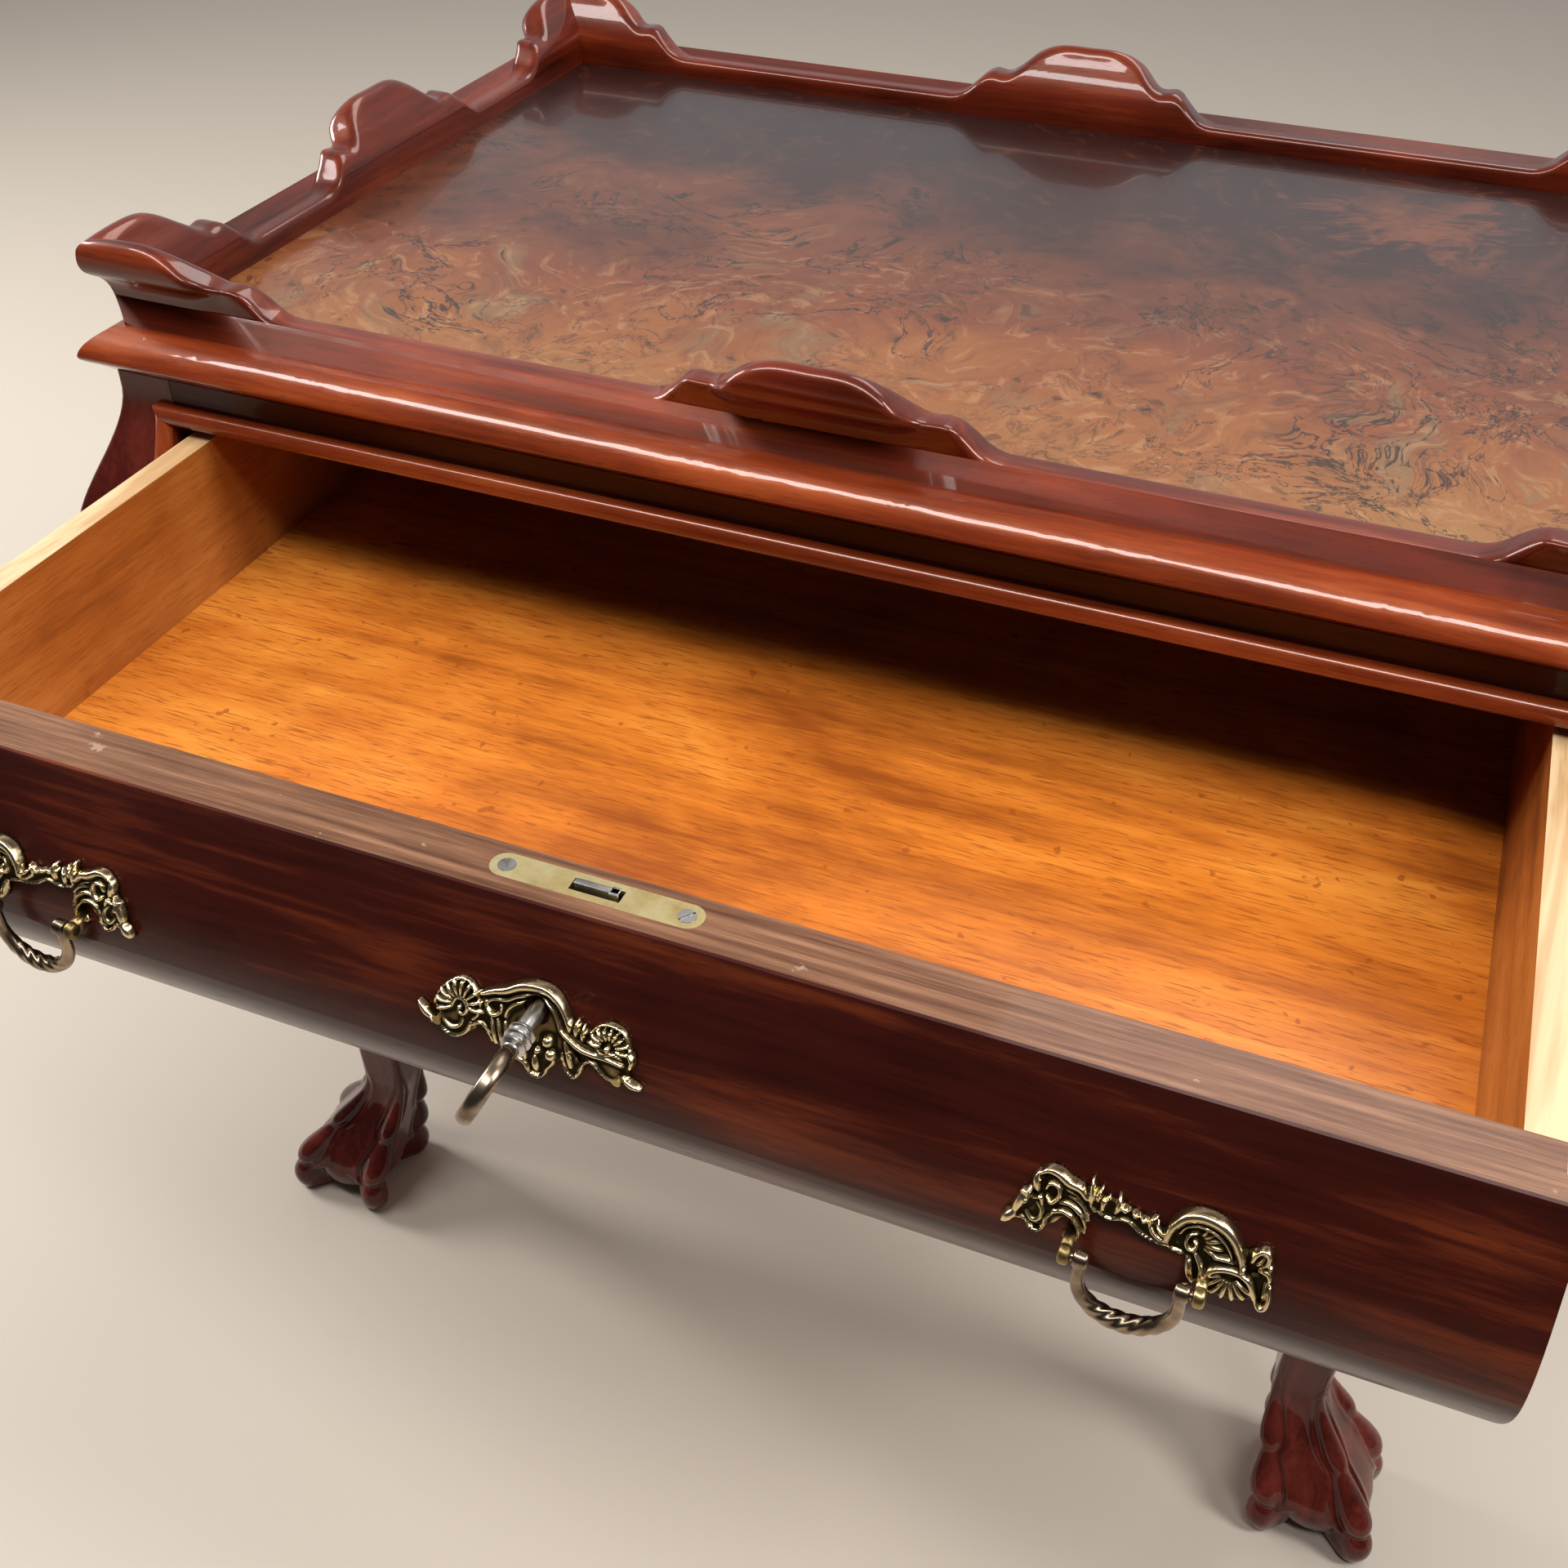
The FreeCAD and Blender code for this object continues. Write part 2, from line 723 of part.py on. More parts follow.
def make_glue_blocks():
    top = below(cornice_depth)
    bottom = top - block_depth
    side_x = half_length + case_lip - panel_thickness
    back_y = half_width + case_lip - panel_thickness
    half = block_length / 2
    blocks = []
    for shift in (-block_y, block_y):
        beside = block(
            Vector(half_length - cornice_ledge, shift - half, bottom), Vector(side_x, shift + half, top))
        blocks += both_sides(beside)
    for shift in (block_inner_x, block_outer_x):
        behind = block(
            Vector(shift - half, half_width - cornice_ledge, bottom), Vector(shift + half, back_y, top))
        blocks += both_sides(behind)
    return Part.makeCompound(blocks)


def screw(head_radius, head_length, radius, head_end, tip):
    # A flat head at head_end, and a shank to the tip
    along = (tip - head_end).normalize()
    neck = head_end + along * head_length
    head = Part.makeCone(head_radius, radius, head_length, head_end, along)
    return head.fuse(rod(radius, neck, tip)).removeSplitter()


def make_top_screws():
    y = -half_width - top_screw_reach
    low = below(opening_top) + top_screw_recess
    screws, recesses = [], []
    for x in (top_screw_outer, top_screw_inner):
        one = screw(
            top_screw_head_radius, top_screw_head, top_screw_radius, Vector(x, y, low),
            Vector(x, y, below(top_screw_tip)))
        recess_end = Vector(x, y, low - top_screw_recess - overrun)
        recess = rod(top_screw_head_radius, recess_end, Vector(x, y, low))
        screws += both_sides(one)
        recesses += both_sides(recess)
    return Part.makeCompound(screws), Part.makeCompound(recesses)


# The drawer box
def dovetails(shoulder, end, low, high, count):
    # Tails on the right side's end, wider at their tips
    pitch = (high - low) / count
    tails = []
    for index in range(count):
        middle = low + pitch * index + pitch / 2
        root = pitch * dovetail_root_share / 2
        tip = pitch * dovetail_tip_share / 2
        outline = Outline(front_plane(side_inner), (shoulder, middle - root))
        outline.line((end, middle - tip), (end, middle + tip), (shoulder, middle + root))
        tails.append(outline.solid(Vector(side_thickness, 0, 0)))
    return tails


def make_drawer_box():
    inner = front_inner_y
    back_inner = drawer_back_y - drawer_back_thickness
    front_tails = dovetails(inner, inner + dovetail_depth, side_bottom, side_top, front_tail_count)
    back_tails = dovetails(-back_inner, -drawer_back_y, bottom_top, side_top, back_tail_count)

    front_outline = Outline(front_plane(-front_half), (inner, front_top))
    front_outline.line((half_width + reach_at(front_top), front_top))
    front_outline.swell(half_width, front_top, front_bottom)
    front_outline.line((inner, front_bottom))
    front = front_outline.solid(Vector(2 * front_half, 0, 0))
    rebate = block(
        Vector(side_outer, -inner - dovetail_depth, front_bottom - overrun),
        Vector(front_half + overrun, overrun - inner, front_top + overrun))

    bottom_reach = side_inner + groove_depth - groove_end_gap
    bottom = block(
        Vector(-bottom_reach, -inner - groove_depth + groove_end_gap, bottom_low),
        Vector(bottom_reach, drawer_back_y, bottom_top))
    groove = block(
        Vector(-side_inner - groove_depth, -inner - groove_depth, bottom_low),
        Vector(side_inner + groove_depth, drawer_back_y + overrun, bottom_top))

    side = block(
        Vector(side_inner, -inner, side_bottom), Vector(side_outer, back_inner, side_top))
    tongue = block(
        Vector(side_inner, back_inner, side_bottom), Vector(side_outer, drawer_back_y, bottom_top))
    back = block(
        Vector(-side_outer, back_inner, bottom_top), Vector(side_outer, drawer_back_y, side_top))

    for cutter in both_sides(rebate) + [groove]:
        front = front.cut(cutter)
    for tail in front_tails:
        for one in both_sides(tail):
            front = front.cut(one)
    for tail in back_tails:
        for one in both_sides(tail):
            back = back.cut(one)
    right = fused([side, tongue] + front_tails + back_tails).cut(groove)

    brads = []
    for x in (-brad_spacing, 0, brad_spacing):
        y = back_inner + drawer_back_thickness / 2
        brads.append(rod(brad_radius, Vector(x, y, bottom_low), Vector(x, y, bottom_low + brad_length)))
    for brad in brads:
        bottom = bottom.cut(brad)
        back = back.cut(brad)
    return {
        "drawer_front": front, "drawer_side_right": right, "drawer_side_left": mirror_x(right),
        "drawer_back": back, "drawer_bottom": bottom, "bottom_brads": Part.makeCompound(brads)}


# The lock and its key
selvedge_y = -half_width - lock_setback
key_height = front_top - key_drop
lock_case_top = front_top - selvedge_thickness
lock_front_y = selvedge_y - lock_case_width / 2
lock_back_y = selvedge_y + lock_case_width / 2


def keyhole(radius, front_y, back_y):
    # A round hole with a slot under it for the bit
    hole = rod(radius, Vector(0, front_y, key_height), Vector(0, back_y, key_height))
    half = bit_width / 2 + keyhole_gap
    slot = block(
        Vector(-half, front_y, key_height - bit_reach - keyhole_gap), Vector(half, back_y, key_height))
    return hole.fuse(slot)


def stadium(length, width, low, high):
    # A plate with round ends
    flat = length / 2 - width / 2
    outline = Outline(plan_plane(low), (lock_x - flat, -selvedge_y - width / 2))
    outline.line((lock_x + flat, -selvedge_y - width / 2))
    outline.arc((lock_x + length / 2, -selvedge_y), (lock_x + flat, -selvedge_y + width / 2))
    outline.line((lock_x - flat, -selvedge_y + width / 2))
    outline.arc((lock_x - length / 2, -selvedge_y), (lock_x - flat, -selvedge_y - width / 2))
    return outline.solid(Vector(0, 0, high - low))


def around_bolt(gap, low, high):
    half_x = bolt_length / 2 + gap
    half_y = bolt_thickness / 2 + gap
    return block(
        Vector(bolt_x - half_x, selvedge_y - half_y, low),
        Vector(bolt_x + half_x, selvedge_y + half_y, high))


def make_lock():
    plate = stadium(selvedge_length, selvedge_width, lock_case_top, front_top)
    low = lock_case_top - lock_case_height
    half = lock_case_length / 2
    outer = block(
        Vector(lock_x - half, lock_front_y, low), Vector(lock_x + half, lock_back_y, lock_case_top))
    inset = Vector(lock_wall, lock_wall, lock_wall)
    inner = block(
        Vector(lock_x - half, lock_front_y, low) + inset,
        Vector(lock_x + half - lock_wall, lock_back_y - lock_wall, lock_case_top))
    hole = keyhole(key_radius + keyhole_gap, lock_front_y - overrun, selvedge_y)
    case = outer.cut(inner).cut(hole)
    pin = rod(
        key_pin_radius, Vector(0, lock_back_y - lock_wall, key_height),
        Vector(0, lock_back_y - lock_wall - key_pin_length, key_height))
    screws = []
    for x in (lock_x - lock_screw_spacing / 2, lock_x + lock_screw_spacing / 2):
        screws.append(screw(
            lock_screw_head, selvedge_thickness, lock_screw_radius, Vector(x, selvedge_y, front_top),
            Vector(x, selvedge_y, front_top - lock_screw_length)))
    for one in screws:
        plate = plate.cut(one)
    plate = plate.cut(around_bolt(bolt_gap, lock_case_top - overrun, front_top + overrun))
    bolt = around_bolt(0, front_top + bolt_proud - bolt_height, front_top + bolt_proud)
    return {
        "lock_plate": plate, "lock_case": case, "lock_pin": pin, "lock_screws": Part.makeCompound(screws),
        "lock_bolt": bolt}, outer


def make_strike(frieze):
    low = below(opening_top)
    half_x, half_y = strike_length / 2, strike_width / 2
    plate = block(
        Vector(bolt_x - half_x, selvedge_y - half_y, low),
        Vector(bolt_x + half_x, selvedge_y + half_y, low + strike_thickness))
    screws = []
    for x in (bolt_x - strike_screw_spacing / 2, bolt_x + strike_screw_spacing / 2):
        screws.append(screw(
            lock_screw_head, strike_thickness, lock_screw_radius, Vector(x, selvedge_y, low),
            Vector(x, selvedge_y, low + lock_screw_length)))
    mortise = around_bolt(2 * bolt_gap + lock_wall, low - overrun, low + strike_mortise)
    frieze = frieze.cut(plate).cut(mortise)
    plate = plate.cut(mortise)
    for one in screws:
        frieze = frieze.cut(one)
        plate = plate.cut(one)
    return frieze, {"strike_plate": plate, "strike_screws": Part.makeCompound(screws)}


def make_key():
    start = lock_back_y - lock_wall - key_end_gap
    face = -half_width - reach_at(key_height) - plate_thickness
    neck = face - collar_standoff
    end = neck - shank_length
    pieces = [rod(key_radius, Vector(0, start, key_height), Vector(0, end, key_height))]
    for index in range(collar_count):
        collar = neck - 2 * collar_length * index
        pieces.append(rod(
            collar_radius, Vector(0, collar, key_height), Vector(0, collar - collar_length, key_height)))
    bow_y = end - bow_radius + bow_wire
    circle = Part.Wire(Part.makeCircle(bow_wire, Vector(0, bow_y - bow_radius, key_height), Z_AXIS))
    pieces.append(Part.Face(circle).revolve(Vector(0, bow_y, key_height), X_AXIS, 360))
    half = bit_width / 2
    bit_start = lock_back_y - lock_wall - key_end_gap - bit_gap
    pieces.append(block(
        Vector(-half, bit_start - bit_length, key_height - bit_reach), Vector(half, bit_start, key_height)))
    bore = rod(
        key_pin_radius + key_bore_gap, Vector(0, start + overrun, key_height),
        Vector(0, start - key_bore_depth, key_height))
    return fused(pieces).cut(bore)


# Cast mounts, bent to the drawer front
def front_skin(thickness, top, bottom, left, right):
    # A layer of the given thickness over the drawer's swelling face
    far = half_width + thickness
    outline = Outline(front_plane(left), (half_width + reach_at(top), top))
    outline.line((far + reach_at(top), top))
    outline.swell(far, top, bottom)
    outline.line((half_width + reach_at(bottom), bottom))
    outline.swell(half_width, bottom, top)
    return outline.solid(Vector(right - left, 0, 0))


def cast_plate(shares, centre_x, centre_depth, length, height):
    middle = below(centre_depth)
    deep = half_width + case_swell + plate_thickness + overrun
    points = [(centre_x + length * a, middle + height * b) for a, b in shares]
    rim = Outline(side_plane(-front_inner_y), points[0])
    for crown, end in zip(points[1::2], points[2::2] + points[:1]):
        rim.arc(crown, end)
    prism = rim.solid(Vector(0, front_inner_y - deep, 0))
    skin = front_skin(
        plate_thickness, middle + height * patch_share, middle - height * patch_share,
        centre_x - length * patch_share, centre_x + length * patch_share)
    return skin.common(prism)


def face_y(height):
    return -half_width - reach_at(height)


pivot_height = below(pivot_depth)
pivot_y = -half_width - case_swell - plate_thickness - pivot_clear - bail_wire
bail_x = handle_x + bail_offset
lug_start = bail_half + bail_wire + bail_side_gap
lug_middle = lug_start + lug_length / 2


def make_handle():
    plate = cast_plate(handle_shares, handle_x, handle_depth, handle_length, handle_height)
    posts, nuts = [], []
    rooted = face_y(pivot_height) - plate_thickness / 2
    whole = plate
    for side in (-1, 1):
        lug_plane = front_plane(bail_x + side * lug_middle - lug_length / 2)
        lug = Outline(lug_plane, (-rooted, pivot_height + lug_radius))
        lug.line((-pivot_y, pivot_height + lug_radius))
        lug.arc((-pivot_y + lug_radius, pivot_height), (-pivot_y, pivot_height - lug_radius))
        lug.line((-rooted, pivot_height - lug_radius))
        whole = whole.fuse(lug.solid(Vector(lug_length, 0, 0)))
    far = lug_start + lug_length + overrun
    pin = rod(
        bail_pin_radius + bail_pin_gap, Vector(bail_x - far, pivot_y, pivot_height),
        Vector(bail_x + far, pivot_y, pivot_height))
    whole = whole.cut(pin)
    for side in (-1, 1):
        x = bail_x + side * lug_middle
        inside = -front_inner_y
        post = rod(
            handle_post_radius, Vector(x, face_y(pivot_height) - plate_thickness / 2, pivot_height),
            Vector(x, inside + nut_thickness + handle_post_end, pivot_height)).cut(whole).Solids[0]
        nut = block(
            Vector(x - nut_size / 2, inside, pivot_height - nut_size / 2),
            Vector(x + nut_size / 2, inside + nut_thickness, pivot_height + nut_size / 2)).cut(post)
        posts.append(post)
        nuts.append(nut)
    return whole, posts, nuts


def make_bail():
    # Two short arms and half a ring, with an eye and a pin at each end
    ring_height = pivot_height - bail_drop
    left, right = bail_x - bail_half, bail_x + bail_half
    path = Outline(side_plane(pivot_y), (left, pivot_height)).line((left, ring_height))
    path.arc((bail_x, ring_height - bail_half), (right, ring_height)).line((right, pivot_height))
    wire = Part.Wire(Part.makeCircle(bail_wire, Vector(left, pivot_y, pivot_height), Z_AXIS))
    whole = Part.Wire(path.edges).makePipeShell([wire], True, False)
    for side in (-1, 1):
        top = Vector(bail_x + side * bail_half, pivot_y, pivot_height)
        half_eye = Vector(bail_wire, 0, 0)
        pin_end = Vector(bail_x + side * (lug_start + lug_length), pivot_y, pivot_height)
        whole = whole.fuse(rod(eye_radius, top - half_eye, top + half_eye))
        whole = whole.fuse(rod(bail_pin_radius, top, pin_end))
    return whole


def make_escutcheon():
    plate = cast_plate(
        escutcheon_shares, escutcheon_x, escutcheon_depth, escutcheon_length, escutcheon_height)
    plate = plate.cut(keyhole(key_radius + keyhole_gap, face_y(key_height) - plate_thickness - overrun, 0))
    pins = []
    for along, rise in escutcheon_pin_shares:
        x = escutcheon_x + escutcheon_length * along
        height = below(escutcheon_depth) + escutcheon_height * rise
        outer = face_y(height) - plate_thickness
        shank = rod(
            escutcheon_pin_radius, Vector(x, outer, height),
            Vector(x, outer + escutcheon_pin_length, height))
        proud = Vector(x, outer - escutcheon_pin_proud, height)
        head = rod(escutcheon_pin_head, proud, Vector(x, outer, height))
        pins.append(head.fuse(shank).cut(plate.cut(shank)))
    for pin in pins:
        plate = plate.cut(pin)
    return plate, pins


def main():
    os.makedirs("parts", exist_ok=True)
    top = make_top()
    case = make_case()
    beads = make_beads()
    screws, recesses = make_top_screws()
    plain_leg = front_right_leg()
    leg = plain_leg
    strike_rail, strike = make_strike(case["frieze_rail"])

    frieze = strike_rail.cut(beads["bead_top"]).cut(recesses)
    case["lower_rail"] = case["lower_rail"].cut(beads["bead_bottom"])
    for bead in beads.values():
        leg = leg.cut(bead)
    for one in screws.Solids:
        frieze = frieze.cut(one)
        top["cornice_front"] = top["cornice_front"].cut(one)
    case["frieze_rail"] = frieze
    standing = dict(top)
    standing.update(case)
    standing.update(beads)
    standing.update(strike)
    standing.update(make_strips(case["back_panel"]))
    standing["glue_blocks"] = make_glue_blocks()
    standing["top_screws"] = screws
    standing["leg_front_right"] = leg
    standing["leg_front_left"] = mirror_x(leg)
    standing["leg_back_right"] = mirror_y(plain_leg)
    standing["leg_back_left"] = mirror_y(mirror_x(plain_leg))

    drawer = make_drawer_box()
    lock, lock_mortise = make_lock()
    drawer.update(lock)
    drawer["key"] = make_key()
    escutcheon, pins = make_escutcheon()
    drawer["escutcheon"] = escutcheon
    drawer["escutcheon_pins"] = Part.makeCompound(pins)
    handle, posts, nuts = make_handle()
    bail = make_bail()
    drawer["handle_plate_right"] = handle
    drawer["handle_plate_left"] = mirror_x(handle)
    drawer["handle_posts"] = Part.makeCompound([one for post in posts for one in both_sides(post)])
    drawer["handle_nuts"] = Part.makeCompound([one for nut in nuts for one in both_sides(nut)])
    drawer["bail_right"] = bail
    drawer["bail_left"] = mirror_x(bail)

    front = drawer["drawer_front"].cut(lock_mortise)
    front = front.cut(stadium(selvedge_length, selvedge_width, lock_case_top, front_top + overrun))
    front = front.cut(keyhole(
        key_radius + keyhole_gap, face_y(key_height) - overrun, lock_front_y + lock_wall))
    for fixing in drawer["lock_screws"].Solids + pins + drawer["handle_posts"].Solids:
        front = front.cut(fixing)
    drawer["drawer_front"] = front

    for name, shape in standing.items():
        save(name, shape)
    for name, shape in drawer.items():
        save(name, shape.copy().translated(Vector(0, -drawer_open, 0)))


main()
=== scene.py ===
# A tea table with a scrolled tray gallery, one long drawer and claw and ball feet:
# its looks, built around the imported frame, in metres
import json
import math
from functools import partialmethod

import bmesh
import bpy
import numpy
from mathutils import Matrix, Vector


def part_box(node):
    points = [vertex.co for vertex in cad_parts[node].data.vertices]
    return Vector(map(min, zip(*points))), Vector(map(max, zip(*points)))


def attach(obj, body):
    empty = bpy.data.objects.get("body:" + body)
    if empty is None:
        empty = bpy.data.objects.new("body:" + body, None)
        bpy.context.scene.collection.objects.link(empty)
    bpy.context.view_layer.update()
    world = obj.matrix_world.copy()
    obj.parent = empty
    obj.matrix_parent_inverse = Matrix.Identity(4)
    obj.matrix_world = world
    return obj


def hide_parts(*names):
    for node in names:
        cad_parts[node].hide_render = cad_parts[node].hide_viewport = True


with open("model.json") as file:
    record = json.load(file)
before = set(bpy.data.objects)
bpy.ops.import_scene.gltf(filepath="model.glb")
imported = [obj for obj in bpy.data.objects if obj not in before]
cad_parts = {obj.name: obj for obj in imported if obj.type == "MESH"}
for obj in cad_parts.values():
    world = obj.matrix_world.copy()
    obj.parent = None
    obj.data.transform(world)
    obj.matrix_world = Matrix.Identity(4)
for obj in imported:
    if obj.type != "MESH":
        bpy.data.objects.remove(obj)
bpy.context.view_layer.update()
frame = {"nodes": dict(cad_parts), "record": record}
nodes = frame["nodes"]
scene = bpy.context.scene
scene.view_settings.view_transform = "Standard"
mm = 0.001
mergeGap = 0.002 * mm

# The tray's surface, and its edges in mm, which every other place is taken from
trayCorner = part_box("tray_board")[1]
trayTop = trayCorner.z
halfX, halfY = trayCorner.x / mm, trayCorner.y / mm
print("frame loaded:", len(nodes), "nodes")


# Shader maths, written as expressions

class Value:
    # One socket of a node tree
    def __init__(self, tree, socket):
        self.tree = tree
        self.socket = socket

    def join(self, operation, other, turned=False):
        values = (other, self) if turned else (self, other)
        return self.tree.add("ShaderNodeMath", {"operation": operation}, dict(enumerate(values)))

    __add__ = partialmethod(join, "ADD")
    __radd__ = partialmethod(join, "ADD", turned=True)
    __sub__ = partialmethod(join, "SUBTRACT")
    __rsub__ = partialmethod(join, "SUBTRACT", turned=True)
    __mul__ = partialmethod(join, "MULTIPLY")
    __rmul__ = partialmethod(join, "MULTIPLY", turned=True)
    __truediv__ = partialmethod(join, "DIVIDE")

    def step(self, low, high):
        # 0 below low, 1 above high, and a smooth rise between them
        return self.tree.add(
            "ShaderNodeMapRange", {"interpolation_type": "SMOOTHSTEP"},
            {"Value": self, "From Min": low, "From Max": high})


class Tree:
    # A node tree, built up node by node
    def __init__(self, made):
        made.use_nodes = True
        self.nodes = made.node_tree.nodes
        self.links = made.node_tree.links

    def link(self, socket, value):
        if isinstance(value, Value):
            self.links.new(value.socket, socket)
        elif isinstance(value, (tuple, list)) and len(value) == 3 and len(socket.default_value) == 4:
            socket.default_value = (*value, 1)
        else:
            socket.default_value = value

    def add(self, kind, settings=None, values=None, output=0):
        node = self.nodes.new(kind)
        for key, value in (settings or {}).items():
            if key == "stops":
                ramp = node.color_ramp
                while len(ramp.elements) < len(value):
                    ramp.elements.new(1)
                for element, (place, colour) in zip(ramp.elements, value):
                    element.position = place
                    element.color = (*colour, 1)
            else:
                setattr(node, key, value)
        for key, value in (values or {}).items():
            self.link(node.inputs[key], value)
        return Value(self, node.outputs[output])

    def place(self, scale=(1, 1, 1), shift=(0, 0, 0)):
        # Object coordinates, in metres, scaled and shifted
        point = self.add("ShaderNodeTexCoord", output="Object")
        return self.add("ShaderNodeMapping", {}, {"Vector": point, "Scale": scale, "Location": shift})

    def noise(self, where, scale, detail=3, roughness=0.55, distortion=0, output="Fac"):
        return self.add("ShaderNodeTexNoise", {}, {
            "Vector": where, "Scale": scale, "Detail": detail, "Roughness": roughness,
            "Distortion": distortion}, output)

    def ramp(self, value, stops):
        return self.add("ShaderNodeValToRGB", {"stops": stops}, {"Fac": value})

    def mix(self, share, first, second):
        return self.add("ShaderNodeMix", {"data_type": "RGBA"}, {0: share, 6: first, 7: second}, 2)

    def vector(self, operation, first, second, output=0):
        return self.add("ShaderNodeVectorMath", {"operation": operation}, {0: first, 1: second}, output)

    def along(self, vector, axis):
        return self.add("ShaderNodeSeparateXYZ", {}, {0: vector}, axis)


class Finish(Tree):
    # A material and its shader
    def __init__(self, name, roughness=0.5, metallic=0, coat=0, coatRoughness=0.05, ior=1.5):
        self.material = bpy.data.materials.new(name)
        super().__init__(self.material)
        self.shader = self.nodes["Principled BSDF"]
        self.set("Roughness", roughness)
        self.set("Metallic", metallic)
        self.set("Coat Weight", coat)
        self.set("Coat Roughness", coatRoughness)
        self.set("IOR", ior)

    def set(self, name, value):
        self.link(self.shader.inputs[name], value)

    def bump(self, height, strength, distance):
        self.set("Normal", self.add("ShaderNodeBump", {}, {
            "Height": height, "Strength": strength, "Distance": distance}))

    def stained(self, tone, places, s):
        # A wood's dark, middle and light at three places of its tone
        return self.ramp(tone, list(zip(places, (s["dark"], s["middle"], s["light"]))))

    def above(self, top, depth):
        # The skin of a piece's upper face
        return self.along(self.place(), "Z").step(top - depth, top - depth / 2)


# Wood finishes

grainScales = {"X": (1, 14, 14), "Y": (14, 1, 14), "Z": (14, 14, 1)}


def grainAxis(name):
    # Legs and upright beads run along Z, pieces at the two ends along Y, and all others along X
    if not name.endswith(("_left", "_right")):
        return "X"
    return "Z" if name.startswith(("leg_", "bead_")) else "Y"


mahogany = {
    "gallery_wood": {
        "dark": (0.026, 0.0028, 0.0012), "middle": (0.105, 0.0115, 0.0032), "light": (0.23, 0.036, 0.0085),
        "roughness": 0.30, "coat": 0.50, "glow": (1, 0.50, 0.36), "ior": 1.42},
    "moulding_wood": {
        "dark": (0.065, 0.0085, 0.0025), "middle": (0.21, 0.031, 0.0070), "light": (0.40, 0.082, 0.019),
        "roughness": 0.26, "coat": 0.65, "glow": (1, 0.50, 0.32), "ior": 1.45},
    "case_wood": {
        "dark": (0.010, 0.0014, 0.0010), "middle": (0.032, 0.0046, 0.0028), "light": (0.070, 0.012, 0.0055),
        "roughness": 0.32, "coat": 0.16, "glow": (0.7, 0.40, 0.32), "ior": 1.36},
    "front_wood": {
        "dark": (0.014, 0.0018, 0.0012), "middle": (0.040, 0.0056, 0.0034), "light": (0.15, 0.028, 0.0080),
        "roughness": 0.30, "coat": 0.12, "glow": (0.6, 0.38, 0.32), "ior": 1.36},
    "leg_wood": {
        "dark": (0.022, 0.0030, 0.0022), "middle": (0.076, 0.0100, 0.0066), "light": (0.14, 0.024, 0.014),
        "roughness": 0.24, "coat": 0.62, "glow": (0.9, 0.42, 0.32), "ior": 1.22},
}

polish = {
    # Each noise: scale, detail, roughness, distortion
    "cloud": (9, 2), "ribbon": (3.2, 4, 0.6, 0.8), "streak": (26, 3, 0.6), "pore": (120, 1, 0.5),
    "ribbonShare": 0.75, "streakShare": 0.25, "cloudShare": 0.45, "places": (0.30, 0.5, 0.70),
    "poreSpan": (0.60, 0.72), "poreShare": 0.45, "poreDull": 0.1, "cloudDull": 0.12,
    "streakBump": 0.4, "bump": (0.10, 0.0004),
}

bareEdge = {
    "dark": (0.075, 0.030, 0.015), "middle": (0.15, 0.068, 0.036), "light": (0.26, 0.128, 0.070),
    "places": (0.32, 0.5, 0.68), "grainScale": (1.2, 36, 36), "grain": (9, 5, 0.7), "depth": 0.0004,
    "scuff": (0.40, 0.27, 0.19), "scuffShift": (3, 0, 0), "scuffs": (60, 4, 0.7),
    "scuffSpan": (0.66, 0.72), "scuffShare": 0.6, "veneer": (0.0012, 0.00168),
}


def bareTop(wood, colour):
    # The unpolished walnut strip along the top of the drawer's front, inside a thin veneer line
    s = bareEdge
    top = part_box("drawer_front")[1].z
    front = min(
        vertex.co.y for vertex in nodes["drawer_front"].data.vertices if vertex.co.z > top - s["depth"])
    bare = wood.stained(wood.noise(wood.place(s["grainScale"]), *s["grain"]), s["places"], s)
    scuff = wood.noise(wood.place(shift=s["scuffShift"]), *s["scuffs"]).step(*s["scuffSpan"])
    bare = wood.mix(scuff * s["scuffShare"], bare, s["scuff"])
    inner = wood.along(wood.place(), "Y").step(*(front + depth for depth in s["veneer"]))
    return wood.mix(wood.above(top, s["depth"]) * inner, colour, bare)


def polishedMahogany(slot, axis):
    # Soft ribbon figure, fine streaks and short pores under a clear polish
    s, p = mahogany[slot], polish
    wood = Finish(slot + axis, coat=s["coat"], ior=s["ior"])
    wood.set("Specular Tint", s["glow"])
    stretched = wood.place(grainScales[axis])
    cloud = wood.noise(wood.place(), *p["cloud"]) - 0.5
    ribbon = wood.noise(stretched, *p["ribbon"])
    streak = wood.noise(stretched, *p["streak"])
    tone = ribbon * p["ribbonShare"] + streak * p["streakShare"] + cloud * p["cloudShare"]
    pore = wood.noise(stretched, *p["pore"]).step(*p["poreSpan"])
    colour = wood.mix(pore * p["poreShare"], wood.stained(tone, p["places"], s), s["dark"])
    if slot == "front_wood":
        colour = bareTop(wood, colour)
    wood.set("Base Color", colour)
    wood.set("Roughness", s["roughness"] + cloud * p["cloudDull"] + pore * p["poreDull"])
    wood.bump(streak * p["streakBump"] - pore, *p["bump"])
    return wood.material


